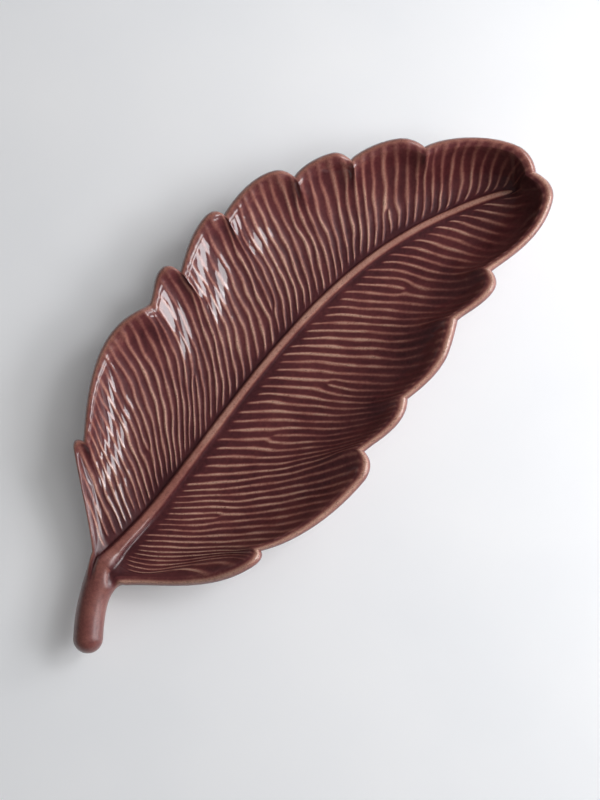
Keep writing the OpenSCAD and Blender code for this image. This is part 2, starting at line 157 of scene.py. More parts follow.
@dataclass(frozen=True)
class GlazeFlow:
    """How thin the glaze ran in the firing, from 0 where it pools dark to 1 where it is tan, with painted
    shade up the walls, at the tip and on the lip's outer edge.
    """

    groove: float = 0.04
    groove_thins: float = 0.10
    groove_mm: float = 12.0
    crest: float = 0.95
    crest_limit: float = 1.1
    crest_power: float = 1.3
    # Painted shade: the veins' tan is lowered up the walls, most of all on the right, and towards the tip,
    # where the dish lies in shade
    wall_shade_span: Pair = (0.10, 0.20)
    tip_shade_span: Pair = (0.68, 0.28)
    tip_shade_depth: float = 0.4
    near_rim: Pair = (0.93, 0.07)
    lip_groove: float = 0.30
    lip_crest: float = 0.42
    # Thin glaze breaks to tan on the lip's round; past it the lip's outer edge is kept dark as painted shade
    lip: float = 0.22
    lip_barest_row: int = 6
    lip_bare_rows: float = 3.2
    lip_satin: float = 0.15
    rib_edge: float = 0.04
    rib_crest: Pair = (0.42, 0.76)
    rib_thins: float = 0.4
    rib_power: float = 1.5
    rib_at_stem: float = 0.5
    stem: float = 0.42
    stem_evens: float = 0.35
    under: float = 0.28


@dataclass(frozen=True)
class SidePlan:
    """Lobes, veins and glaze of one side of the leaf.

    Attributes:
        side: Which half it is.
        lobes: For each lobe its notch, two handles, its knob and the handle of the turn back
            to the next notch, as shares of the blade's length and width.
        counts: Veins in each lobe.
        starts: Share of the midrib where each lobe's first vein starts.
        start_headings: Headings of the veins at the midrib, in degrees, at each notch.
        end_headings: Headings at the veins' outer end.
        rim_headings: Headings across the rim.
        pace: How much wider apart the veins end near each notch, and the part of them that
            ends in the turn.
        bare: Veins next to the stem that stay flat.
        starts_mm: Least and most distance of a vein's start from the midrib's edge.
        waver: How strongly the veins waver.
        forks: Vein number, range of distances and direction of each fork.
        lip_base: Width of the lip at the stem, as a share of the full one.
        neck_spread: How much wider the midrib flares at the stem.
        lip_veins: Share of the lip that the veins run onto.
        lip_bare: How much thinner the glaze is on the lip's round.
        wall_shade_depth: How strongly painted shade darkens the veins up the wall.
        per_vein: Columns of mesh for each vein.
        seed: Seed of this side's random numbers.
    """

    side: Side
    lobes: tuple
    counts: tuple[int, ...]
    starts: tuple[float, ...]
    start_headings: tuple[float, ...]
    end_headings: tuple[float, ...]
    rim_headings: tuple[float, ...]
    pace: tuple[Pair, ...]
    bare: int
    starts_mm: Pair
    waver: float
    forks: tuple
    lip_base: float
    neck_spread: float
    lip_veins: float
    lip_bare: float
    wall_shade_depth: float
    per_vein: int
    seed: int


LEFT_PLAN = SidePlan(
    side=Side.LEFT,
    lobes=(
        ((0, 0.054), (0.030, 0.128), (0.064, 0.244), (0.098, 0.334), (0.111, 0.362)),
        ((0.118, 0.327), (0.184, 0.436), (0.256, 0.560), (0.336, 0.502), (0.346, 0.495)),
        ((0.357, 0.497), (0.380, 0.516), (0.392, 0.556), (0.416, 0.550), (0.432, 0.542)),
        ((0.431, 0.500), (0.448, 0.520), (0.492, 0.576), (0.530, 0.574), (0.554, 0.573)),
        ((0.553, 0.536), (0.572, 0.548), (0.628, 0.568), (0.664, 0.524), (0.684, 0.504)),
        ((0.685, 0.460), (0.704, 0.470), (0.736, 0.456), (0.760, 0.422), (0.774, 0.400)),
        ((0.774, 0.365), (0.792, 0.368), (0.834, 0.340), (0.859, 0.293), (0.878, 0.256)),
        ((0.879, 0.216), (0.916, 0.196), (0.976, 0.088), (0.990, -0.020), (0.996, -0.080)),
    ),
    counts=(4, 16, 5, 8, 9, 5, 7, 11),
    starts=(0, 0.06, 0.26, 0.34, 0.50, 0.645, 0.715, 0.83, 1),
    start_headings=(90, 68, 46, 44, 46, 48, 42, 30, -33),
    end_headings=(90, 60, 84, 80, 69, 60, 50, 37, -29),
    rim_headings=(90, 82, 88, 86, 80, 72, 62, 50, -29),
    pace=((0.3, 0.24), (0, 0.12), (0, 0.30), (0, 0.23), (0, 0.22), (0, 0.26), (0, 0.31), (0, 0.24)),
    bare=1,
    starts_mm=(0.0, 2.2),
    waver=0.75,
    forks=((12, (12, 18), 1), (21, (18, 26), -1), (33, (12, 18), 1), (50, (10, 16), -1)),
    lip_base=0.5,
    neck_spread=0.0,
    lip_veins=0.8,
    lip_bare=0.50,
    wall_shade_depth=0.1,
    per_vein=14,
    seed=11,
)
RIGHT_PLAN = SidePlan(
    side=Side.RIGHT,
    lobes=(
        ((0, -0.106), (0.040, -0.180), (0.088, -0.328), (0.164, -0.366), (0.190, -0.378)),
        ((0.194, -0.350), (0.240, -0.408), (0.312, -0.444), (0.394, -0.432), (0.426, -0.420)),
        ((0.428, -0.365), (0.448, -0.368), (0.480, -0.389), (0.508, -0.378), (0.528, -0.370)),
        ((0.541, -0.346), (0.564, -0.352), (0.612, -0.368), (0.648, -0.333), (0.676, -0.307)),
        ((0.696, -0.282), (0.712, -0.283), (0.740, -0.307), (0.770, -0.301), (0.794, -0.294)),
        ((0.798, -0.248), (0.832, -0.256), (0.896, -0.296), (0.954, -0.234), (0.988, -0.200)),
    ),
    counts=(8, 11, 10, 10, 7, 12),
    starts=(0, 0.055, 0.195, 0.39, 0.57, 0.715, 1),
    start_headings=(-90, -50, -42, -40, -40, -40, -33),
    end_headings=(-90, -40, -32, -30, -32, -34, -29),
    rim_headings=(-90, -62, -56, -52, -54, -56, -29),
    pace=((0.5, 0.5), (0.45, 0.28), (0, 0.36), (0, 0.34), (0, 0.36), (0, 0.27)),
    bare=2,
    starts_mm=(0.2, 3.0),
    waver=0.5,
    forks=((13, (22, 28), -1), (24, (18, 24), 1), (31, (22, 28), 1), (43, (16, 24), -1)),
    lip_base=1.0,
    neck_spread=0.45,
    lip_veins=0.35,
    lip_bare=0.74,
    # Painted shade: the right wall, turned away from the lamps, is darkened far more than the left
    wall_shade_depth=0.85,
    per_vein=16,
    seed=23,
)


def clamp01(v: Value) -> Value:
    """Limits a value or an array to 0..1."""
    return np.clip(v, 0.0, 1.0)


def smooth(v: Value) -> Value:
    """Smooth step of a value or an array, flat at 0 and 1."""
    c = clamp01(v)
    return c * c * (3 - 2 * c)


def ramp(v: Value, begin: float, stretch: float) -> Value:
    """Smooth step that begins at one value of v and is done a stretch further."""
    return smooth((v - begin) / stretch)


def mix(a: Value, b: Value, v: Value) -> Value:
    """Blend from a to b at share v."""
    return a + (b - a) * v


def unit(v: Array) -> Array:
    """Vectors of length one along the last axis."""
    return v / np.linalg.norm(v, axis=-1, keepdims=True)


def heading(deg: Array) -> Array:
    """Plan directions for angles in degrees."""
    return np.stack([np.cos(np.radians(deg)), np.sin(np.radians(deg))], axis=-1)


def cubic(p: list | tuple, v: Value) -> Value:
    """Points, at shares v, of the cubic curve that control values p give."""
    w = 1 - v
    return w ** 3 * p[0] + 3 * w * w * v * p[1] + 3 * w * v * v * p[2] + v ** 3 * p[3]


def cubic_way(p: list | tuple, v: Value) -> Value:
    """Directions of that curve, not of unit length."""
    w = 1 - v
    return w * w * (p[1] - p[0]) + 2 * w * v * (p[2] - p[1]) + v * v * (p[3] - p[2])


def curve_through(points: Array, steps: int) -> Array:
    """Smooth curve through a short list of points.

    Args:
        points: Array of points, at least two.
        steps: Number of segments between neighbours.

    Returns:
        The points of the curve, ends included.
    """
    p = np.vstack([2 * points[0] - points[1], points, 2 * points[-1] - points[-2]])
    out = [points[0]]
    for i in range(1, len(p) - 2):
        for k in range(1, steps + 1):
            t = k / steps
            out.append(0.5 * (
                2 * p[i] + (p[i + 1] - p[i - 1]) * t
                + (2 * p[i - 1] - 5 * p[i] + 4 * p[i + 1] - p[i + 2]) * t * t
                + (3 * p[i] - p[i - 1] - 3 * p[i + 1] + p[i + 2]) * t ** 3))
    return np.array(out)


def grid_quads(rows: int, columns: int, around: bool = False, closed: bool = False) -> Array:
    """Quads of a grid of points kept row by row.

    Args:
        rows: Number of rows.
        columns: Number of points in each row.
        around: Whether each row's last point joins its first.
        closed: Whether the last row joins the first.

    Returns:
        Array of four point numbers for each quad.
    """
    r = np.arange(rows if closed else rows - 1)[:, None]
    c = np.arange(columns if around else columns - 1)[None]
    here, there, after = r * columns, (r + 1) % rows * columns, (c + 1) % columns
    return np.stack([here + c, here + after, there + after, there + c], axis=-1).reshape(-1, 4)


def zip_rows(a: Array, b: Array, ka: Array, kb: Array) -> list[tuple[int, ...]]:
    """Triangles between two rows whose points lie at different places.

    Args:
        a: Point numbers of the first row.
        b: Point numbers of the second row.
        ka: Places of the first row's points.
        kb: Places of the second row's points.

    Returns:
        List of triangles.
    """
    out, i, j = [], 0, 0
    while i < len(a) - 1 or j < len(b) - 1:
        if j == len(b) - 1 or (i < len(a) - 1 and ka[i + 1] <= kb[j + 1]):
            out.append((a[i], a[i + 1], b[j]))
            i += 1
        else:
            out.append((a[i], b[j + 1], b[j]))
            j += 1
    return [tuple(int(k) for k in t) for t in out if len(set(t)) == 3]


@dataclass
class Shell:
    """Points, faces and glaze of one piece while the dish is put together.

    Attributes:
        name: The piece's name.
        points: Points in millimetres, from the stem.
        quads: Shown quads.
        thin: How thin the glaze lies at each point, painted shade included.
        satin: How dull it is at each point.
        tris: Shown triangles.
        hidden: Faces that lie against a neighbour.
        turned: Whether the faces are listed from the inside.
    """

    name: str
    points: Array
    quads: Array
    thin: Array
    satin: Array
    tris: list
    hidden: list
    turned: bool = True

    def shown_normals(self) -> Array:
        """Sum of the shown faces' normals at each point, weighted by area.

        Returns:
            A vector for each point.
        """
        total = np.zeros_like(self.points)
        if len(self.quads):
            p = self.points[self.quads]
            self.add_normals(total, self.quads, np.cross(p[:, 2] - p[:, 0], p[:, 3] - p[:, 1]))
        if self.tris:
            faces = np.array(self.tris)
            p = self.points[faces]
            self.add_normals(total, faces, np.cross(p[:, 1] - p[:, 0], p[:, 2] - p[:, 0]))
        return -total if self.turned else total

    @staticmethod
    def add_normals(total: Array, faces: Array, normals: Array) -> None:
        """Adds each face's normal to the sums of its points, in place."""
        for corner in faces.T:
            np.add.at(total, corner, normals)

    def faces(self) -> list[tuple[int, ...]]:
        """All faces in outward order, as tuples of point numbers."""
        every = [tuple(f) for f in self.quads.tolist()] + list(self.tris) + list(self.hidden)
        return [f[::-1] for f in every] if self.turned else every

    def to_object(self, normals: Array, levels: Array, centre: Array) -> bpy.types.Object:
        """Blender object of this piece, in metres in the frame.

        Args:
            normals: Unit normals of the clay.
            levels: Unit normals of the glaze, which has levelled out over the veins.
            centre: Plan position of the frame's origin, in millimetres.

        Returns:
            The new object.
        """
        mesh = bpy.data.meshes.new(self.name)
        mesh.from_pydata(((self.points - centre) * MM).tolist(), [], self.faces())
        mesh.polygons.foreach_set("use_smooth", [True] * len(mesh.polygons))
        for name, values in (("thin_glaze", self.thin), ("satin", self.satin)):
            layer = mesh.attributes.new(name, "FLOAT", "POINT")
            layer.data.foreach_set("value", np.asarray(values, dtype=np.float32))
        layer = mesh.attributes.new("glaze_level", "FLOAT_VECTOR", "POINT")
        layer.data.foreach_set("vector", np.asarray(levels, dtype=np.float32).reshape(-1))
        mesh.update()
        mesh.normals_split_custom_set_from_vertices(normals.tolist())
        piece = bpy.data.objects.new(self.name, mesh)
        bpy.context.scene.collection.objects.link(piece)
        return piece


def join_normals(shells: list[Shell]) -> list[Array]:
    """Unit normals of every piece, summed where neighbours share a point.

    Args:
        shells: The glazed pieces.

    Returns:
        The normals of each piece.
    """
    per_mm = 500
    keys = np.round(np.vstack([s.points for s in shells]) * per_mm).astype(np.int64)
    which = np.unique(keys, axis=0, return_inverse=True)[1].reshape(-1)
    total = np.zeros((which.max() + 1, 3))
    np.add.at(total, which, np.vstack([s.shown_normals() for s in shells]))
    joined = total[which]
    length = np.linalg.norm(joined, axis=1, keepdims=True)
    least = 1e-9
    joined = np.where(length > least, joined / np.maximum(length, least), np.array([0, 0, 1.0]))
    return np.split(joined, np.cumsum([len(s.points) for s in shells])[:-1])


@dataclass
class VeinPattern:
    """Height of the moulded veins over vein number and distance from the midrib.

    Attributes:
        plan: This side's plan, with the seed of its random numbers.
        gap: Typical distance between veins, in millimetres.
        bends: Each wave's length over the veins and along them in millimetres, and its size
            as a share of the gap.
        bend_spread: Least and most of what a wave's lengths are multiplied by.
        swells: Number of the slow changes in height.
        swell_veins: Least and most length of a swell over the veins.
        swell_mm: Least and most length of a swell along the veins.
        swell_h: Size of a swell, as a share of the crest.
        gains: Least and most height of a vein, as a share of a full one.
        settle_mm: Distance from the midrib at which the waves have their full size.
        start_mm: Length over which a vein rises.
        slim_mm: Length over which it widens from a slim start.
        crest_powers: Sharpness of the crest at the start and further out.
        fork_dip: Depth of the saddle where a vein forks.
        fork_spread: Width of that saddle.
    """

    plan: SidePlan
    gap: float
    bends: tuple = (
        (2.7, 17.0, 0.045), (-3.9, 26.0, 0.060), (6.5, 38.0, 0.090), (-2.1, 10.0, 0.030), (11.0, 21.0, 0.070))
    bend_spread: Pair = (0.85, 1.15)
    swells: int = 4
    swell_veins: Pair = (1.5, 5.0)
    swell_mm: Pair = (9.0, 24.0)
    swell_h: float = 0.06
    gains: Pair = (0.74, 1.08)
    settle_mm: float = 10.0
    start_mm: float = 2.4
    slim_mm: float = 12.0
    crest_powers: Pair = (4.5, 1.9)
    fork_dip: float = 0.4
    fork_spread: float = 0.12

    def __post_init__(self) -> None:
        """Draws the waves, the swells, the forks and each vein's start and height."""
        rng = np.random.default_rng(self.plan.seed)
        spread = self.bend_spread
        self.count = sum(self.plan.counts)
        self.bend_waves = [
            (veins * rng.uniform(*spread), length * rng.uniform(*spread), size * self.plan.waver,
             rng.uniform(0, 1))
            for veins, length, size in self.bends]
        self.swell_waves = [
            (rng.uniform(*self.swell_veins), rng.uniform(*self.swell_mm), 1.0, rng.uniform(0, 1))
            for _ in range(self.swells)]
        self.forks = [(at + 0.5, rng.uniform(*reach), sign) for at, reach, sign in self.plan.forks]
        self.start = rng.uniform(*self.plan.starts_mm, self.count + 2)
        self.gain = rng.uniform(*self.gains, self.count + 2)

    @staticmethod
    def sum_of(waves: list[tuple], phase: Array, run: Array) -> Array:
        """Sum of waves, each given by its length over the veins, that along them, size and place."""
        return sum(size * np.sin(2 * math.pi * (phase / veins + run / length + at))
                   for veins, length, size, at in waves)

    def crest(self, phase: Array, run: Array) -> tuple[Array, Array]:
        """Relief of the veins.

        Args:
            phase: Vein number along the midrib, whole numbers in the grooves.
            run: Distance from the midrib along the vein, in millimetres.

        Returns:
            Height as a share of a full crest, and the start's fade.
        """
        turn = 2 * math.pi
        level = phase + self.sum_of(self.bend_waves, phase, run) * smooth(run / self.settle_mm)
        shifted = level
        core = np.ones_like(level)
        for at, begin, sign in self.forks:
            along = (run - begin) / self.gap
            across = level - at
            shifted = shifted + sign / turn * np.arctan2(across, along)
            core = core * (1 - self.fork_dip * np.exp(-(across ** 2 + along ** 2) / self.fork_spread))
        swell = 1 + self.swell_h * self.sum_of(self.swell_waves, phase, run)
        number = np.clip(np.floor(phase).astype(int), 0, self.count)
        begun = run - self.start[number]
        fade = smooth(begun / self.start_mm)
        power = mix(*self.crest_powers, smooth(begun / self.slim_mm))
        ridge = (0.5 - 0.5 * np.cos(turn * shifted)) ** power
        return ridge * core * swell * fade * self.gain[number], fade


@dataclass
class Vane:
    """One side of the leaf, from the midrib over the rim to the underside.

    Attributes:
        name: The piece's name.
        plan: Lobes and veins of this side.
        sizes: The dish's sizes.
        shares: The dish's proportions.
        flow: Where the glaze ran thin.
        rows: Steps from the midrib to the rim.
        under_rows: Steps from the rim back to the midrib underneath.
        lip_steps: Steps between the points of the lip's section.
    """

    name: str
    plan: SidePlan
    sizes: LeafSizes
    shares: LeafShares
    flow: GlazeFlow
    rows: int = 70
    under_rows: int = 14
    lip_steps: int = 4

    def __post_init__(self) -> None:
        """Works out the columns and all rows of points."""
        self.blade = np.array([self.sizes.blade_l, self.sizes.blade_w])
        self.pattern = VeinPattern(self.plan, self.sizes.vein_gap)
        self.place_columns()
        self.line_up()
        self.rows_t = np.linspace(0, 1, self.rows + 1)
        self.build_rows()

    def place_columns(self) -> None:
        """Lobe, place on the outline, vein number and place on the midrib of each column."""
        plan, turn = self.plan, self.shares.turn
        lobe, v = [], []
        for i, count in enumerate(plan.counts):
            n = count * plan.per_vein
            lobe += [i] * n
            v += [k / n for k in range(n)]
        self.lobe = np.array(lobe + [len(plan.counts) - 1])
        self.v = np.array(v + [1.0])
        lean, turned = (np.array(values)[self.lobe] for values in zip(*plan.pace))
        along = clamp01(self.v / (1 - turned))
        back = clamp01((self.v - 1 + turned) / turned)
        self.w = (1 - turn) * (along + lean * along * (1 - along)) + turn * back
        before = np.cumsum([0] + list(plan.counts))
        self.phase = before[self.lobe] + self.v * np.array(plan.counts)[self.lobe]
        self.u = self.between(plan.starts)

    def between(self, table: tuple[float, ...]) -> Array:
        """Blend of a table given at the notches, in each column."""
        values = np.array(table, float)
        return mix(values[self.lobe], values[self.lobe + 1], self.v)

    def outline(self) -> Array:
        """Outline of the side in plan, in millimetres from the stem.

        Returns:
            A point for each column.
        """
        lobes = np.array(self.plan.lobes)
        notches = np.vstack([lobes[1:, 0], self.shares.tip_notch])
        c = lobes[self.lobe]
        turn = 1 - self.shares.turn
        v = self.w[:, None]
        run = cubic([c[:, 0], c[:, 1], c[:, 2], c[:, 3]], clamp01(v / turn))
        w = clamp01((v - turn) / self.shares.turn)
        back = (1 - w) ** 2 * c[:, 3] + 2 * w * (1 - w) * c[:, 4] + w * w * notches[self.lobe]
        return np.where(v <= turn, run, back) * self.blade

    def knob(self) -> Array:
        """Height share of the rim over its lobe's notch, in each column."""
        turn = 1 - self.shares.turn
        return np.where(self.w <= turn, (self.w / turn) ** 2, smooth((1 - self.w) / self.shares.turn))

    def line_up(self) -> None:
        """Curve of each column in plan, and the heights that go with it."""
        s, sh = self.sizes, self.shares
        line = [np.array(p) * self.blade for p in sh.midrib]
        u = self.u[:, None]
        self.mid = cubic(line, u)
        axis = unit(cubic_way(line, u))
        left = np.stack([-axis[:, 1], axis[:, 0]], axis=-1)
        begin, stretch = sh.rib_tip
        tip = np.sqrt(1 - clamp01((self.u - begin) / stretch) ** 2)
        self.collar = 1 - smooth(self.u / sh.collar)
        self.neck = 1 - smooth(self.u / sh.neck)
        spread = 1 + self.plan.neck_spread * self.neck
        half_w = s.midrib_w / 2 * cubic(sh.midrib_w, self.u) * tip * spread
        self.edge = self.mid + self.plan.side.value * half_w[:, None] * left
        self.outer = self.outline()
        self.climb = smooth(self.outer[:, 0] / s.blade_l / sh.lip_climb)
        self.lip = mix(self.plan.lip_base, 1, self.climb)
        self.across = heading(self.between(self.plan.rim_headings))
        inner = self.outer - self.across * s.rim_w * self.lip[:, None]
        self.reach = np.linalg.norm(inner - self.edge, axis=-1)
        reach = self.reach[:, None]
        self.line = [
            self.edge,
            self.edge + reach * sh.start_handle * heading(self.between(self.plan.start_headings)),
            inner - reach * sh.end_handle * heading(self.between(self.plan.end_headings)),
            inner,
        ]
        stem = 1 - smooth(self.u / sh.stem_climb)
        rise = sh.stem_rise * stem + sh.tip_rise * smooth((self.u - 1 + sh.tip_climb) / sh.tip_climb)
        rise = rise + sh.collar_rise * self.collar
        self.floor = mix(s.foot_h + s.floor_t, s.rim_z, rise)
        self.thick = s.floor_t + s.root_t * stem
        self.rim = mix(s.rim_base_z, s.rim_z, self.climb) + s.knob_rise * self.knob() * self.climb
        self.bead = s.rim_bead_h * (1 - sh.collar_bead * self.collar)

    def soften(self, points: Array, t: Array) -> Array:
        """Rounds off, away from the lip, the crease that each notch would leave down the wall.

        Args:
            points: Array of points, by row and column.
            t: Share of each row from the midrib's edge to the lip.

        Returns:
            The points, each row averaged along its neighbours.
        """
        sh = self.shares
        begin, end = sh.crease_from
        total = self.phase[-1]
        inland = smooth(np.minimum(self.phase, total - self.phase) / sh.crease_end_veins)[:, None]
        out = points.copy()
        for row, share in enumerate(t):
            width = sh.crease_veins * self.plan.per_vein
            width *= float(smooth((1 - share) / sh.crease_reach) * smooth((share - begin) / (end - begin)))
            if width < sh.crease_least:
                continue
            n = int(3 * width)
            line = points[row]
            ends = (2 * line[0] - line[n:0:-1], line, 2 * line[-1] - line[-2:-n - 2:-1])
            weights = np.exp(-0.5 * (np.arange(-n, n + 1) / width) ** 2)
            weights /= weights.sum()
            padded = np.vstack(ends)
            even = np.stack([np.convolve(padded[:, k], weights, "valid") for k in range(3)], axis=-1)
            out[row] = mix(line, even, inland)
        return out

    def smooth_top(self, t: Array) -> Array:
        """Points of the smooth floor and wall at shares t of each column.

        Args:
            t: Array of shares from the midrib's edge to the lip.

        Returns:
            Array of points, by row and column.
        """
        s, sh = self.sizes, self.shares
        t = np.asarray(t)[:, None]
        full = ramp(self.climb, *sh.pocket_climb)
        cup = s.pocket_h * sh.pocket_gain * t ** 3 * (1 - t) * (1 - 2 * self.knob()) * full
        z = mix(self.floor, self.rim - self.bead, t ** sh.profile_power) + cup
        p = cubic([c[None] for c in self.line], t[..., None])
        return np.concatenate([p, z[..., None]], axis=-1)

    def under(self, t: Array) -> Array:
        """Points of the underside at shares t of each column.

        Args:
            t: Array of shares from the midrib's edge to the lip.

        Returns:
            Array of points, by row and column.
        """
        s, sh = self.sizes, self.shares
        flare = math.radians(s.flare)
        p = self.smooth_top(t)
        t = np.asarray(t)[:, None]
        # The curve may have no direction at its very start
        near_start = 0.001
        way = unit(cubic_way([c[None] for c in self.line], np.clip(t, near_start, 1)[..., None]))
        way = np.where(t[..., None] >= 1, self.across[None], way)
        out = s.wall_t * math.sin(flare) * self.lip * t ** sh.profile_power
        flat_z = self.floor - self.thick
        low = self.smooth_top([sh.flat])[0, :, 2] - flat_z
        high = s.wall_t * math.cos(flare) + self.thick - s.floor_t
        down = np.where(t <= sh.flat, p[..., 2] - flat_z, mix(low, high, (t - sh.flat) / (1 - sh.flat)))
        return np.concatenate([p[..., :2] + way * out[..., None], (p[..., 2] - down)[..., None]], axis=-1)

    def lip_rows(self, ridge: Array) -> tuple[Array, Array]:
        """Rows over the rounded lip.

        Args:
            ridge: Height of the veins where they run onto the lip, as a share of a full crest.

        Returns:
            The rows' points, and how thin the glaze lies on them, with painted shade on the lip's outer edge.
        """
        s, flow, flare = self.sizes, self.flow, math.radians(self.sizes.flare)
        inside_end = (0, -s.rim_bead_h / s.wall_t)
        outside_end = (math.sin(flare) * s.wall_t / s.rim_w, inside_end[1] - math.cos(flare))
        section = np.array([inside_end, *self.shares.lip, outside_end])
        points, thin = [], []
        for k, (out, up) in enumerate(curve_through(section, self.lip_steps)[1:-1]):
            out = min(out, 1.0)
            inside = k < 2 * self.lip_steps
            z = self.rim + s.wall_t * up * (self.bead / s.rim_bead_h if inside else 1)
            over = 1 - smooth(out / self.plan.lip_veins) if inside else 0.0
            xy = self.line[3] + self.across * s.rim_w * self.lip[:, None] * out
            points.append(np.column_stack([xy, z + s.vein_h * ridge * over]))
            # Tan where thin glaze breaks on the lip's round, falling off fast to a dark outer edge that is
            # painted shade
            away = (k - flow.lip_barest_row) / flow.lip_bare_rows
            bare = flow.lip + self.plan.lip_bare * math.exp(-away ** 2)
            thin.append(mix(bare, self.veined_lip(ridge), over))
        return np.array(points), np.array(thin)

    def veined_lip(self, ridge: Array) -> Array:
        """How thin the glaze lies where the veins run onto the lip."""
        return self.flow.lip_groove + self.flow.lip_crest * np.clip(ridge, 0, 1)

    def top_glaze(self, crest: Array, fade: Array, run: Array) -> Array:
        """How thin the glaze lies on the floor and the wall, with painted shade lowering it up the walls and
        towards the tip.

        Args:
            crest: Height of the veins, as a share of a full crest.
            fade: Fade of each vein's start.
            run: Distance from the midrib, in millimetres.

        Returns:
            Thinness by row and column.
        """
        flow, t = self.flow, self.rows_t[:, None]
        base = flow.groove + flow.groove_thins * fade * smooth(run / flow.groove_mm)
        # Painted shade: the veins' tan is lowered up the walls and towards the tip, where the dish lies in
        # shade
        wall_shading = self.plan.wall_shade_depth * ramp(self.u, *flow.wall_shade_span) * t ** 2
        unshaded = 1 - clamp01(wall_shading + flow.tip_shade_depth * ramp(self.u, *flow.tip_shade_span) * t)
        thin = base + flow.crest * unshaded * np.clip(crest, 0, flow.crest_limit) ** flow.crest_power
        return mix(thin, self.veined_lip(crest[-1]), ramp(t, *flow.near_rim))

    def build_rows(self) -> None:
        """All rows of the closed section: top, lip, then underside back to the midrib."""
        s, sh = self.sizes, self.shares
        run = self.rows_t[:, None] * self.reach
        crest, fade = self.pattern.crest(self.phase[None], run)
        crest = crest * mix(1, sh.vein_at_rim, self.rows_t[:, None] ** sh.vein_rim_power) * self.end_fade()
        top = self.soften(self.smooth_top(self.rows_t), self.rows_t)
        top[..., 2] += s.vein_h * crest
        lip, lip_thin = self.lip_rows(crest[-1])
        under_t = np.linspace(1, 0, self.under_rows + 1)
        under = self.soften(self.under(under_t), np.where(under_t > sh.flat, under_t, 0))
        self.points = np.concatenate([top, lip, under])
        self.points[..., 2] = np.minimum(self.points[..., 2], s.rim_z + s.knob_rise)
        under_thin = np.full(under.shape[:2], self.flow.under)
        self.thin = np.concatenate([self.top_glaze(crest, fade, run), lip_thin, under_thin])
        self.dull = np.zeros(self.points.shape[:2])
        self.dull[len(top):len(top) + len(lip)] = self.flow.lip_satin

    def end_fade(self) -> Array:
        """Fades the veins out at the stem and at the very tip, in each column."""
        begin = smooth((self.phase - self.plan.bare) / self.shares.vein_end)
        return begin * smooth((self.pattern.count - self.phase) / self.shares.vein_end)

    def shell(self) -> Shell:
        """Closed piece of this side, its lip included.

        Returns:
            The piece.
        """
        rows, columns = self.points.shape[:2]
        last_row = (rows - 1) * columns
        closing = [(last_row + c, last_row + c + 1, c + 1, c) for c in range(columns - 1)]
        first = tuple(r * columns for r in range(rows))
        last = tuple(r * columns + columns - 1 for r in range(rows - 1, -1, -1))
        satin = np.maximum(self.dull, self.neck).reshape(-1)
        return Shell(self.name, self.points.reshape(-1, 3), grid_quads(rows, columns), self.thin.reshape(-1),
                     satin, [], closing + [first, last], turned=self.plan.side is Side.RIGHT)


@dataclass
class Midrib:
    """Raised rib between the two sides, soft where it meets the floor.

    Attributes:
        name: The piece's name.
        left: The left side.
        right: The right side.
        sizes: The dish's sizes.
        shares: The dish's proportions.
        flow: Where the glaze ran thin.
        steps: Steps from an edge to the crest.
    """

    name: str
    left: Vane
    right: Vane
    sizes: LeafSizes
    shares: LeafShares
    flow: GlazeFlow
    steps: int = 7

    def __post_init__(self) -> None:
        """Works out the rows from the left edge over the crest to the right edge."""
        s, sh, flow = self.sizes, self.shares, self.flow
        across = [(self.left, 1 - k / self.steps) for k in range(self.steps + 1)]
        across += [(self.right, 1 - k / self.steps) for k in range(self.steps, -1, -1)]
        self.places = [side.u for side, _ in across]
        self.satin = [side.neck for side, _ in across]
        self.rows, self.thin = [], []
        for side, out in across:
            height = s.midrib_h * cubic(sh.midrib_h, side.u) * (1 - sh.collar_sink * side.collar)
            fade = smooth((1 - side.u) / sh.rib_fade)
            bell = (1 - smooth(out ** sh.rib_bell[0])) ** sh.rib_bell[1]
            top = side.floor + height * fade * bell
            self.rows.append(np.column_stack([mix(side.mid, side.edge, out), top]))
            crest = mix(*flow.rib_crest, smooth(side.u / flow.rib_thins))
            self.thin.append(flow.rib_edge + crest * bell ** flow.rib_power)

    def shell(self) -> Shell:
        """Closed piece of the rib, with its ends and its flat underside.

        Returns:
            The piece.
        """
        left, right = self.left, self.right
        starts = np.cumsum([0] + [len(r) for r in self.rows])
        numbers = [np.arange(a, b) for a, b in zip(starts[:-1], starts[1:])]
        tris = []
        for i in range(len(numbers) - 1):
            tris += zip_rows(numbers[i], numbers[i + 1], self.places[i], self.places[i + 1])
        n = int(starts[-1])
        points = np.vstack([*self.rows, left.points[-1], right.points[-1]])
        low_left = np.arange(n, n + len(left.u))
        low_right = np.arange(n + len(left.u), len(points))
        tris += zip_rows(low_right, low_left, right.u, left.u)
        hidden = zip_rows(low_left, numbers[0], left.u, left.u)
        hidden += zip_rows(numbers[-1], low_right, right.u, right.u)
        hidden.append(tuple([int(low_left[0])] + [int(r[0]) for r in numbers] + [int(low_right[0])]))
        hidden.append(tuple([int(low_right[-1])] + [int(r[-1]) for r in numbers[::-1]] + [int(low_left[-1])]))
        thin = np.concatenate(self.thin + [np.full(len(points) - n, self.flow.under)])
        satin = np.concatenate(self.satin + [left.neck, right.neck])
        return Shell(self.name, points, np.zeros((0, 4), int), thin, satin, tris, hidden)


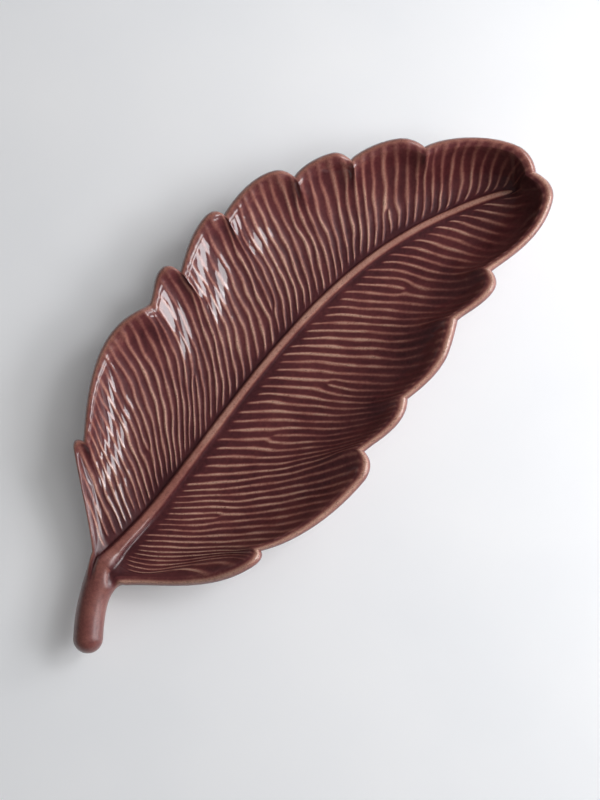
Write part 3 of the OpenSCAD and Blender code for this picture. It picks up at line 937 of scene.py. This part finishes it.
@dataclass
class Stem:
    """Round, bent stem that grows out of the blade's own section.

    Attributes:
        name: The piece's name.
        midrib: The rib, with the two sides that it joins.
        sizes: The dish's sizes.
        shares: The dish's proportions.
        flow: Where the glaze ran thin.
        rings: Rings along the stem.
        cap_rings: Rings of the round end.
    """

    name: str
    midrib: Midrib
    sizes: LeafSizes
    shares: LeafShares
    flow: GlazeFlow
    rings: int = 60
    cap_rings: int = 12

    def joint(self) -> tuple[Array, Array]:
        """Section where the stem leaves the blade.

        Returns:
            Its points, and how thin the glaze lies on them.
        """
        rib, steps = self.midrib, self.midrib.steps
        back = np.array([row[0] for row in rib.rows])
        points = np.vstack([
            rib.left.points[::-1, 0], back[1:steps + 1], back[steps + 2:-1], rib.right.points[:, 0]])
        rib_thin = np.full(2 * steps - 1, self.flow.rib_at_stem)
        return points, np.concatenate([rib.left.thin[::-1, 0], rib_thin, rib.right.thin[:, 0]])

    def ring(self, centre: Array, way: Array, flat: Array) -> Array:
        """Section points, given sideways and up, placed round a centre across the stem's way."""
        sideways = np.array([way[1], -way[0]])
        return np.column_stack([centre + flat[:, :1] * sideways, self.sizes.stem_z + flat[:, 1]])

    def sections(self) -> tuple[list[Array], list[Array]]:
        """Sections from the blade to the last ring of the round end, and its apex.

        Returns:
            The points of each section, and how thin the glaze lies on them.
        """
        s, sh, flow = self.sizes, self.shares, self.flow
        joint, thin = self.joint()
        width, mid_y = np.ptp(joint[:, 1]) / 2, (joint[:, 1].max() + joint[:, 1].min()) / 2
        lengths = np.linalg.norm(np.roll(joint, -1, axis=0) - joint, axis=-1)
        girth = np.concatenate([[0], np.cumsum(lengths)[:-1]])
        first = math.atan2(joint[0, 2] - s.stem_z, joint[0, 1] - mid_y)
        angle = first + 2 * math.pi * girth / lengths.sum()
        circle = np.stack([np.cos(angle), np.sin(angle)], axis=-1)
        own = joint[:, 1:] - [mid_y, s.stem_z]
        line = [np.array([-s.stem_l * a, mid_y - s.stem_bend * b]) for a, b in sh.stem]
        radius = s.stem_d / 2
        points, glaze = [joint], [thin]
        for k in range(1, self.rings + 1):
            v = k / self.rings
            blade_left = (1 - clamp01(v / sh.stem_blend)) ** sh.stem_blend_power
            half = mix(radius, width, blade_left)
            flat = mix(own * [half / width, 1], circle * [half, radius], smooth(v / sh.stem_fill))
            points.append(self.ring(cubic(line, v), unit(cubic_way(line, v)), flat))
            glaze.append(mix(thin, flow.stem, smooth(v / flow.stem_evens)))
        way = unit(cubic_way(line, 1.0))
        for k in range(1, self.cap_rings + 1):
            a = math.pi / 2 * k / (self.cap_rings + 1)
            points.append(self.ring(line[3] + way * radius * math.sin(a), way, radius * math.cos(a) * circle))
            glaze.append(np.full(len(angle), flow.stem))
        points.append(np.array([[*(line[3] + way * radius), s.stem_z]]))
        glaze.append(np.array([flow.stem]))
        return points, glaze

    def shell(self) -> Shell:
        """Closed piece of the stem, its round end included.

        Returns:
            The piece.
        """
        sections, glaze = self.sections()
        rings, n = len(sections) - 1, len(sections[0])
        last = (rings - 1) * n
        cap = [(last + c, last + (c + 1) % n, rings * n) for c in range(n)]
        thin = np.concatenate(glaze)
        return Shell(self.name, np.vstack(sections), grid_quads(rings, n, around=True), thin,
                     np.ones_like(thin), cap, [tuple(range(n - 1, -1, -1))])


def select_only(piece: bpy.types.Object) -> None:
    """Makes one object the only selected and the active one.

    Args:
        piece: The object.
    """
    bpy.ops.object.select_all(action="DESELECT")
    piece.select_set(True)
    bpy.context.view_layer.objects.active = piece


@dataclass
class FootRing:
    """Low ring of bare clay that the dish stands on, with softened edges.

    Attributes:
        sizes: The dish's sizes.
        shares: The dish's proportions.
        name: The piece's name.
        side_points: Points along each of the ring's two sides.
        corner_steps: Steps round each softened edge.
        smooth_deg: Angle up to which neighbouring faces are shaded as one surface.
    """

    sizes: LeafSizes
    shares: LeafShares
    name: str = "foot_ring_clay"
    side_points: int = 96
    corner_steps: int = 5
    smooth_deg: float = 40.0

    def outline(self) -> Array:
        """Plan of the ring's outer face, in millimetres from the stem.

        Returns:
            Points round the ring.
        """
        s, sh = self.sizes, self.shares
        a, b = (np.array(p) * [s.blade_l, s.blade_w] for p in sh.foot_ends)
        v = np.linspace(0, 1, self.side_points + 1)[:-1, None]
        sides = []
        for bulge, start, end in ((sh.foot_left, a, b), (sh.foot_right, b, a)):
            out = np.array([0, bulge * s.blade_w])
            sides.append(cubic([start, start + out, end + out, end], v))
        return np.vstack(sides)

    def profile(self) -> list[Pair]:
        """Section of the ring, from its outer face round the bottom to its inner face.

        Returns:
            Distance inwards and height of each point.
        """
        s, r = self.sizes, self.sizes.foot_round
        angles = [k * math.pi / (2 * self.corner_steps) for k in range(self.corner_steps + 1)]
        corner = [(r * (1 - math.cos(a)), r * (1 - math.sin(a))) for a in angles]
        inner = [(s.foot_w - d, z) for d, z in corner[::-1]]
        return [(0.0, s.foot_h)] + corner + inner + [(s.foot_w, s.foot_h)]

    def build(self, centre: Array) -> bpy.types.Object:
        """Makes the ring, with its faces outwards and its edges smooth.

        Args:
            centre: Plan position of the frame's origin, in millimetres.

        Returns:
            The new object.
        """
        outline, profile = self.outline(), self.profile()
        way = unit(np.roll(outline, -1, axis=0) - np.roll(outline, 1, axis=0))
        inward = np.stack([way[:, 1], -way[:, 0]], axis=-1)
        rows = [np.column_stack([outline + inward * d, np.full(len(outline), z)]) for d, z in profile]
        quads = grid_quads(len(profile), len(outline), around=True, closed=True)
        mesh = bpy.data.meshes.new(self.name)
        mesh.from_pydata(((np.vstack(rows) - centre) * MM).tolist(), [], quads.tolist())
        piece = bpy.data.objects.new(self.name, mesh)
        bpy.context.scene.collection.objects.link(piece)
        select_only(piece)
        bpy.ops.object.mode_set(mode="EDIT")
        bpy.ops.mesh.select_all(action="SELECT")
        bpy.ops.mesh.normals_make_consistent(inside=False)
        bpy.ops.object.mode_set(mode="OBJECT")
        bpy.ops.object.shade_smooth_by_angle(angle=math.radians(self.smooth_deg))
        return piece


# Values between which a noise texture mostly stays
NOISE_LOW = 0.3
NOISE_HIGH = 0.7


def linear(code: str) -> tuple[float, ...]:
    """Linear colour of an sRGB hex code, with alpha 1."""
    channels = [int(code[i:i + 2], 16) / 255 for i in (1, 3, 5)]
    return tuple(c / 12.92 if c <= 0.04045 else ((c + 0.055) / 1.055) ** 2.4 for c in channels) + (1.0,)


def fresh_material(name: str) -> tuple[bpy.types.Material, bpy.types.NodeTree]:
    """Adds a material that has no nodes yet.

    Args:
        name: The material's name.

    Returns:
        The material and its node tree.
    """
    material = bpy.data.materials.new(name)
    material.use_nodes = True
    material.node_tree.nodes.clear()
    return material, material.node_tree


def add_node(tree: bpy.types.NodeTree, kind: str, settings: dict | None = None,
             inputs: dict | None = None) -> bpy.types.Node:
    """Adds a node, sets its properties and fills its inputs.

    Args:
        tree: Node tree to add to.
        kind: Type name of the node.
        settings: Property values by name.
        inputs: Values or sockets by input name or number.

    Returns:
        The new node.
    """
    node = tree.nodes.new(kind)
    for name, value in (settings or {}).items():
        setattr(node, name, value)
    for key, value in (inputs or {}).items():
        if isinstance(value, bpy.types.NodeSocket):
            tree.links.new(value, node.inputs[key])
        else:
            node.inputs[key].default_value = value
    return node


def set_stops(node: bpy.types.Node, stops: tuple[tuple[float, str], ...]) -> bpy.types.NodeSocket:
    """Gives a colour ramp its stops.

    Args:
        node: The colour ramp.
        stops: Place and hex code of each stop.

    Returns:
        The ramp's colour.
    """
    elements = node.color_ramp.elements
    while len(elements) < len(stops):
        elements.new(0.5)
    for element, (place, code) in zip(elements, stops):
        element.position = place
        element.color = linear(code)
    return node.outputs["Color"]


@dataclass(frozen=True)
class Glaze:
    """Glossy brown glaze that pools dark in the grooves and breaks to tan on the edges.

    Attributes:
        name: The material's name.
        stops: Colour from thick, pooling glaze through its body to where it is thinnest.
        speck: Colour of the iron specks.
        roughness: Roughness of the coloured glaze under its clear surface.
        specular: Reflection of the coloured glaze itself.
        coat_roughness: Roughness of the clear surface.
        satin_roughness: The same where the glaze lies dull.
        ior: Index of refraction of the clear surface.
        cloud_mm: Width of the broad clouds.
        cloud_swing: How far they thin or thicken the glaze.
        mottle_mm: Width of the fine mottle.
        mottle_swing: How far it thins or thickens the glaze.
        speck_mm: Width of the specks.
        speck_from: Values of the noise between which a speck shows.
        speck_depth: Strength of a speck.
        ripple_mm: Width of the ripples in the surface.
        ripple_h_mm: Their height.
        ripple_strength: How much of it shows.
        levelled: How far the clear surface has levelled out over the veins.
    """

    name: str = "brown_breaking_glaze"
    stops: tuple = ((0.0, "#411a1e"), (0.30, "#663132"), (0.62, "#9a6357"), (1.0, "#c29683"))
    speck: str = "#3a1a18"
    roughness: float = 0.42
    specular: float = 0.2
    coat_roughness: float = 0.05
    satin_roughness: float = 0.32
    ior: float = 1.5
    cloud_mm: float = 14.0
    cloud_swing: float = 0.09
    mottle_mm: float = 1.4
    mottle_swing: float = 0.07
    speck_mm: float = 0.5
    speck_from: Pair = (0.53, 0.66)
    speck_depth: float = 0.7
    ripple_mm: float = 2.2
    ripple_h_mm: float = 0.12
    ripple_strength: float = 0.18
    levelled: float = 0.8

    def depth(self, tree: bpy.types.NodeTree, place: bpy.types.NodeSocket) -> bpy.types.NodeSocket:
        """How thin the glaze lies, clouded and mottled.

        Args:
            tree: The material's nodes.
            place: Object coordinates.

        Returns:
            Thinness from 0 to 1.
        """
        # thin_glaze also carries painted shade on the walls, the tip and the lip's outer edge
        thin = add_node(tree, "ShaderNodeAttribute", {"attribute_name": "thin_glaze"}).outputs["Fac"]
        # Clouds of thicker and thinner glaze, a few centimetres wide down to a millimetre
        for width, swing, rough, limited in (
                (self.cloud_mm, self.cloud_swing, 0.5, False),
                (self.mottle_mm, self.mottle_swing, 0.6, True)):
            cloud = add_node(tree, "ShaderNodeTexNoise", inputs={
                "Vector": place, "Scale": 1 / (width * MM), "Detail": 3.0, "Roughness": rough}).outputs["Fac"]
            shift = add_node(tree, "ShaderNodeMapRange", inputs={
                "Value": cloud, "From Min": NOISE_LOW, "From Max": NOISE_HIGH,
                "To Min": -swing, "To Max": swing}).outputs["Result"]
            thin = add_node(tree, "ShaderNodeMath", {"operation": "ADD", "use_clamp": limited},
                            {0: thin, 1: shift}).outputs[0]
        return thin

    def build(self) -> bpy.types.Material:
        """Makes the material.

        Returns:
            The material.
        """
        material, tree = fresh_material(self.name)
        place = add_node(tree, "ShaderNodeTexCoord").outputs["Object"]
        depth = self.depth(tree, place)
        colour = set_stops(add_node(tree, "ShaderNodeValToRGB", inputs={"Fac": depth}), self.stops)
        # Fine iron specks that show where the glaze is thin
        grain = add_node(tree, "ShaderNodeTexNoise", inputs={
            "Vector": place, "Scale": 1 / (self.speck_mm * MM), "Detail": 2.0,
            "Roughness": 0.6}).outputs["Fac"]
        speck = add_node(tree, "ShaderNodeMapRange", {"clamp": True}, {
            "Value": grain, "From Min": self.speck_from[0], "From Max": self.speck_from[1],
            "To Min": 0.0, "To Max": self.speck_depth}).outputs["Result"]
        speck = add_node(tree, "ShaderNodeMath", {"operation": "MULTIPLY"}, {0: speck, 1: depth}).outputs[0]
        colour = add_node(tree, "ShaderNodeMix", {"data_type": "RGBA"}, {
            "Factor": speck, "A": colour, "B": linear(self.speck)}).outputs["Result"]
        # Slow ripples left in the fired surface, so that reflections waver
        ripple = add_node(tree, "ShaderNodeTexNoise", inputs={
            "Vector": place, "Scale": 1 / (self.ripple_mm * MM), "Detail": 1.0,
            "Roughness": 0.5}).outputs["Fac"]
        ripples = {"Height": ripple, "Strength": self.ripple_strength, "Distance": self.ripple_h_mm * MM}
        bump = add_node(tree, "ShaderNodeBump", inputs=ripples).outputs["Normal"]
        # The glaze levels out over the veins, so that window reflections run across them
        level = add_node(tree, "ShaderNodeAttribute", {"attribute_name": "glaze_level"}).outputs["Vector"]
        level = add_node(tree, "ShaderNodeBump", inputs={**ripples, "Normal": level}).outputs["Normal"]
        # The glaze lies thinner and duller on the stem
        satin = add_node(tree, "ShaderNodeAttribute", {"attribute_name": "satin"}).outputs["Fac"]
        gloss = add_node(tree, "ShaderNodeMapRange", inputs={
            "Value": satin, "To Min": self.coat_roughness, "To Max": self.satin_roughness}).outputs["Result"]
        shader = add_node(tree, "ShaderNodeBsdfPrincipled", inputs={
            "Base Color": colour, "Roughness": self.roughness, "Specular IOR Level": self.specular,
            "Coat Weight": 1.0, "Coat Roughness": gloss, "Coat IOR": self.ior, "Normal": bump,
            "Coat Normal": level})
        add_node(tree, "ShaderNodeOutputMaterial", inputs={"Surface": shader.outputs["BSDF"]})
        return material


@dataclass(frozen=True)
class BareClay:
    """Unglazed foot: pale sandy clay, with the glaze's wavering edge above it.

    Attributes:
        name: The material's name.
        stops: Colour of the clay's darker and lighter grains.
        glaze: Colour of the glaze above the line.
        line_mm: Height of the glaze's edge over the table.
        waver_mm: How far the edge wavers.
        waver_scale: Waves of that edge in each metre.
        edge_mm: Softness of the edge.
        grain_mm: Width of the clay's grain.
        grain_h_mm: Height of the grain.
        grain_strength: How much of it shows.
        clay_roughness: Roughness of the clay.
        glaze_roughness: Roughness of the glaze.
    """

    name: str = "bare_clay_foot"
    stops: tuple = ((0.3, "#a98f73"), (0.6, "#c9b49a"))
    glaze: str = "#5a2d28"
    line_mm: float = 2.4
    waver_mm: float = 0.7
    waver_scale: float = 60.0
    edge_mm: float = 0.25
    grain_mm: float = 0.6
    grain_h_mm: float = 0.1
    grain_strength: float = 0.35
    clay_roughness: float = 0.85
    glaze_roughness: float = 0.12

    def build(self) -> bpy.types.Material:
        """Makes the material.

        Returns:
            The material.
        """
        material, tree = fresh_material(self.name)
        place = add_node(tree, "ShaderNodeTexCoord").outputs["Object"]
        # Glaze wiped off up to a wavering line, so that the ring doesn't stick in the kiln
        height = add_node(tree, "ShaderNodeSeparateXYZ", inputs={"Vector": place}).outputs["Z"]
        slow = add_node(tree, "ShaderNodeTexNoise", inputs={
            "Vector": place, "Scale": self.waver_scale, "Detail": 2.0}).outputs["Fac"]
        waver = add_node(tree, "ShaderNodeMapRange", inputs={
            "Value": slow, "From Min": NOISE_LOW, "From Max": NOISE_HIGH,
            "To Min": -self.waver_mm * MM, "To Max": self.waver_mm * MM}).outputs["Result"]
        level = add_node(tree, "ShaderNodeMath", {"operation": "ADD"}, {0: height, 1: waver}).outputs[0]
        glazed = add_node(tree, "ShaderNodeMapRange", {"clamp": True}, {
            "Value": level, "From Min": self.line_mm * MM,
            "From Max": (self.line_mm + self.edge_mm) * MM}).outputs["Result"]
        # Sandy grain of the fired body
        grain = add_node(tree, "ShaderNodeTexNoise", inputs={
            "Vector": place, "Scale": 1 / (self.grain_mm * MM), "Detail": 5.0,
            "Roughness": 0.7}).outputs["Fac"]
        clay = set_stops(add_node(tree, "ShaderNodeValToRGB", inputs={"Fac": grain}), self.stops)
        colour = add_node(tree, "ShaderNodeMix", {"data_type": "RGBA"}, {
            "Factor": glazed, "A": clay, "B": linear(self.glaze)}).outputs["Result"]
        rough = add_node(tree, "ShaderNodeMapRange", inputs={
            "Value": glazed, "To Min": self.clay_roughness, "To Max": self.glaze_roughness}).outputs["Result"]
        bump = add_node(tree, "ShaderNodeBump", inputs={
            "Height": grain, "Strength": self.grain_strength,
            "Distance": self.grain_h_mm * MM}).outputs["Normal"]
        shader = add_node(tree, "ShaderNodeBsdfPrincipled", inputs={
            "Base Color": colour, "Roughness": rough, "Normal": bump})
        add_node(tree, "ShaderNodeOutputMaterial", inputs={"Surface": shader.outputs["BSDF"]})
        return material


@dataclass
class LeafDish:
    """The whole dish: both sides, the midrib, the stem and the foot ring.

    Attributes:
        sizes: The dish's sizes.
        shares: Its proportions.
        flow: Where its glaze ran thin.
        glaze: Finish of all but the foot.
        clay: Finish of the foot.
    """

    sizes: LeafSizes = LeafSizes()
    shares: LeafShares = LeafShares()
    flow: GlazeFlow = GlazeFlow()
    glaze: Glaze = Glaze()
    clay: BareClay = BareClay()

    def shells(self, sizes: LeafSizes) -> tuple[list[Shell], Array]:
        """The four glazed pieces at some sizes.

        Args:
            sizes: The dish's sizes.

        Returns:
            The pieces, and the plan centre of the whole dish, which is the frame's origin.
        """
        common = sizes, self.shares, self.flow
        left = Vane("left_blade", LEFT_PLAN, *common)
        right = Vane("right_blade", RIGHT_PLAN, *common)
        midrib = Midrib("midrib_ridge", left, right, *common)
        stem = Stem("stem_handle_glazed", midrib, *common).shell()
        plan = np.vstack([left.outer, right.outer, stem.points[:, :2]])
        middle = (plan.max(axis=0) + plan.min(axis=0)) / 2
        return [left.shell(), right.shell(), midrib.shell(), stem], np.array([*middle, 0.0])

    def build(self) -> None:
        """Makes the five pieces, with one set of normals over all the glazed ones."""
        shells, centre = self.shells(self.sizes)
        levelled, _ = self.shells(replace(self.sizes, vein_h=0.0))
        LOG.info("centre %s", centre.round(3))
        self.glazed = []
        for shell, normal, level in zip(shells, join_normals(shells), join_normals(levelled)):
            self.glazed.append(shell.to_object(normal, unit(mix(normal, level, self.glaze.levelled)), centre))
        self.foot = FootRing(self.sizes, self.shares).build(centre)

    def dress(self) -> None:
        """Gives each piece its finish, and ties it to the frame's nodes."""
        glaze, clay = self.glaze.build(), self.clay.build()
        left, right, midrib, stem = self.glazed
        for piece, material, slot, nodes in (
                (left, glaze, Slot.BROWN, ("left_vane", "left_rim")),
                (right, glaze, Slot.BROWN, ("right_vane", "right_rim")),
                (midrib, glaze, Slot.THIN, ("midrib",)),
                (stem, glaze, Slot.BROWN, ("stem_handle",)),
                (self.foot, clay, Slot.CLAY, ("foot_ring",))):
            piece.data.materials.append(material)
            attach(piece, "root")
            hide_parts(*nodes)


@dataclass(frozen=True)
class Tabletop:
    """Plain pale tabletop, barely mottled.

    Attributes:
        name: The material's name.
        stops: Colour of its darker and lighter clouds.
        cloud_scale: Clouds in each metre.
        roughness: Its roughness.
        glow: How far the table is lifted towards white near the dish.
        far_glow: The same far from it.
        glow_from_m: Distance at which it begins to rise.
        glow_to_m: Distance at which it is done.
        size_m: Width of the table.
        sink_mm: Depth of its top under the foot ring.
    """

    name: str = "pale_tabletop"
    stops: tuple = ((0.35, "#e6e7e9"), (0.65, "#ececed"))
    cloud_scale: float = 9.0
    roughness: float = 0.6
    glow: float = 0.125
    far_glow: float = 0.64
    glow_from_m: float = 0.28
    glow_to_m: float = 1.1
    size_m: float = 12.0
    sink_mm: float = 0.1

    def build(self) -> None:
        """Adds the table under the dish."""
        bpy.ops.object.select_all(action="DESELECT")
        bpy.ops.mesh.primitive_plane_add(size=self.size_m, location=(0, 0, -self.sink_mm * MM))
        floor = bpy.context.active_object
        floor.name = "tabletop"
        floor.data.materials.append(self.material())

    def material(self) -> bpy.types.Material:
        """Makes the material.

        Returns:
            The material.
        """
        material, tree = fresh_material(self.name)
        place = add_node(tree, "ShaderNodeTexCoord").outputs["Object"]
        cloud = add_node(tree, "ShaderNodeTexNoise", inputs={
            "Vector": place, "Scale": self.cloud_scale, "Detail": 3.0}).outputs["Fac"]
        colour = set_stops(add_node(tree, "ShaderNodeValToRGB", inputs={"Fac": cloud}), self.stops)
        # What the camera and the glaze see of the table is lifted towards white, not what it lights
        path = add_node(tree, "ShaderNodeLightPath").outputs
        seen = add_node(tree, "ShaderNodeMath", {"operation": "ADD"}, {
            0: path["Is Camera Ray"], 1: path["Is Glossy Ray"]}).outputs[0]
        seen = add_node(tree, "ShaderNodeMath", {"operation": "ADD", "use_clamp": True}, {
            0: seen, 1: path["Is Transmission Ray"]}).outputs[0]
        reach = add_node(tree, "ShaderNodeVectorMath", {"operation": "LENGTH"}, {0: place}).outputs["Value"]
        lift = add_node(tree, "ShaderNodeMapRange", {"interpolation_type": "SMOOTHSTEP"}, {
            "Value": reach, "From Min": self.glow_from_m, "From Max": self.glow_to_m,
            "To Min": self.glow, "To Max": self.far_glow}).outputs["Result"]
        glow = add_node(tree, "ShaderNodeMath", {"operation": "MULTIPLY"}, {0: seen, 1: lift}).outputs[0]
        shader = add_node(tree, "ShaderNodeBsdfPrincipled", inputs={
            "Base Color": colour, "Roughness": self.roughness, "Emission Color": linear("#ffffff"),
            "Emission Strength": glow})
        add_node(tree, "ShaderNodeOutputMaterial", inputs={"Surface": shader.outputs["BSDF"]})
        return material


@dataclass(frozen=True)
class Room:
    """Dim room overhead, with a pale horizon as a studio's sweep has.

    Attributes:
        overhead: Strength overhead.
        horizon: Strength at the horizon.
        sweep: Heights between which the one turns into the other.
        colour: Colour of its light.
    """

    overhead: float = 0.09
    horizon: float = 0.85
    sweep: Pair = (0.02, 0.08)
    colour: str = "#f8f9fb"

    def build(self) -> None:
        """Makes the world."""
        world = bpy.data.worlds.new("soft_room")
        world.use_nodes = True
        tree = world.node_tree
        tree.nodes.clear()
        way = add_node(tree, "ShaderNodeTexCoord").outputs["Generated"]
        height = add_node(tree, "ShaderNodeSeparateXYZ", inputs={"Vector": way}).outputs["Z"]
        strength = add_node(tree, "ShaderNodeMapRange", {"interpolation_type": "SMOOTHSTEP"}, {
            "Value": height, "From Min": self.sweep[0], "From Max": self.sweep[1],
            "To Min": self.horizon, "To Max": self.overhead}).outputs["Result"]
        background = add_node(tree, "ShaderNodeBackground", inputs={
            "Color": linear(self.colour), "Strength": strength}).outputs["Background"]
        add_node(tree, "ShaderNodeOutputWorld", inputs={"Surface": background})
        bpy.context.scene.world = world


@dataclass(frozen=True)
class Lamp:
    """Soft rectangular light that faces the dish.

    Attributes:
        name: Its name.
        bearing_deg: Bearing in the picture, from its right towards its top.
        height_deg: Angle above the table.
        size_m: Width and height.
        watts: Power.
        distance_m: Distance from the dish.
        colour: Colour of its light.
        mirrored: Whether glossy surfaces show it.
        aim_m: Height that it faces.
    """

    name: str
    bearing_deg: float
    height_deg: float
    size_m: Pair
    watts: float
    distance_m: float = 0.85
    colour: str = "#fbfcff"
    mirrored: bool = True
    aim_m: float = 0.015


# Window panes to the right of the dish, and a broad soft light that the glaze doesn't show
LAMPS = (
    Lamp("window_high_near", -13, 37, (0.19, 0.19), 1.0),
    Lamp("window_high_mid", 1, 37, (0.19, 0.19), 1.0),
    Lamp("window_low", -5, 11, (0.40, 0.13), 1.7),
    Lamp("window_side", 17, 26, (0.20, 0.30), 1.6),
    Lamp("window_top", 20, 50, (0.24, 0.22), 1.4),
    Lamp("window_far", 38, 34, (0.50, 0.45), 1.2),
    Lamp("soft_box", -12, 58, (1.2, 1.2), 7.6, distance_m=1.6, colour="#fffffe", mirrored=False),
)


def look_rotation(eye: Vector, target: Vector, up: Vector) -> Matrix:
    """Rotation of a camera or light.

    Args:
        eye: Where it stands.
        target: What it looks at.
        up: Direction that is upwards for it.

    Returns:
        The rotation.
    """
    back = (eye - target).normalized()
    side = up.cross(back).normalized()
    return Matrix((side, back.cross(side), back)).transposed()


@dataclass(frozen=True)
class View:
    """Camera and lights, placed along the picture's own right and up.

    Attributes:
        target_mm: What the camera looks at.
        axis_deg: Turn of the leaf's length from the picture's right.
        tilt_deg: Tilt of the camera from straight above.
        distance_mm: Its distance.
        lens_mm: Its focal length.
        clip_start_m: Nearest distance that it sees.
    """

    target_mm: tuple[float, ...] = (-2.2, -18.7, 12.0)
    axis_deg: float = 45.7
    tilt_deg: float = 10.0
    distance_mm: float = 550.0
    lens_mm: float = 58.4
    clip_start_m: float = 0.01

    def axes(self) -> tuple[Vector, Vector, Vector]:
        """The picture's right and up, both along the table, and straight up.

        Returns:
            Three unit vectors.
        """
        a = math.radians(self.axis_deg)
        right, up = Vector((math.cos(a), -math.sin(a), 0)), Vector((math.sin(a), math.cos(a), 0))
        return right, up, Vector((0, 0, 1))

    def way_to(self, bearing_deg: float, height_deg: float) -> Vector:
        """Unit vector to a bearing in the picture and an angle above the table.

        Args:
            bearing_deg: Bearing, from the picture's right towards its top.
            height_deg: Angle above the table.

        Returns:
            The direction.
        """
        right, up, z = self.axes()
        b, h = math.radians(bearing_deg), math.radians(height_deg)
        return (right * math.cos(b) + up * math.sin(b)) * math.cos(h) + z * math.sin(h)

    def place_camera(self) -> None:
        """Adds the camera and makes it the scene's."""
        _, up, z = self.axes()
        tilt = math.radians(self.tilt_deg)
        target = Vector(self.target_mm) * MM
        eye = target + (z * math.cos(tilt) - up * math.sin(tilt)) * self.distance_mm * MM
        camera = bpy.data.objects.new("camera", bpy.data.cameras.new("camera"))
        camera.data.lens = self.lens_mm
        camera.data.clip_start = self.clip_start_m
        camera.location = eye
        camera.rotation_euler = look_rotation(eye, target, up).to_euler()
        bpy.context.scene.collection.objects.link(camera)
        bpy.context.scene.camera = camera

    def place_lamp(self, lamp: Lamp) -> None:
        """Adds one lamp, turned to the dish.

        Args:
            lamp: The lamp.
        """
        data = bpy.data.lights.new(lamp.name, "AREA")
        data.shape = "RECTANGLE"
        data.size, data.size_y = lamp.size_m
        data.energy = lamp.watts
        data.color = linear(lamp.colour)[:3]
        light = bpy.data.objects.new(lamp.name, data)
        light.location = self.way_to(lamp.bearing_deg, lamp.height_deg) * lamp.distance_m
        aim, up = Vector((0, 0, lamp.aim_m)), Vector((0, 0, 1))
        light.rotation_euler = look_rotation(light.location, aim, up).to_euler()
        light.visible_glossy = lamp.mirrored
        bpy.context.scene.collection.objects.link(light)

    def build(self) -> None:
        """Adds the camera and all lamps, and sets how the picture is shown."""
        self.place_camera()
        for lamp in LAMPS:
            self.place_lamp(lamp)
        bpy.context.scene.view_settings.view_transform = "Standard"


def main() -> None:
    """Loads the frame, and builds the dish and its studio."""
    logging.basicConfig(level=logging.INFO, format="%(name)s: %(message)s")
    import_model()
    dish = LeafDish()
    dish.build()
    dish.dress()
    for piece in (*dish.glazed, dish.foot):
        LOG.info("%s: %d faces", piece.name, len(piece.data.polygons))
    Tabletop().build()
    Room().build()
    View().build()


if __name__ == "__main__":
    main()
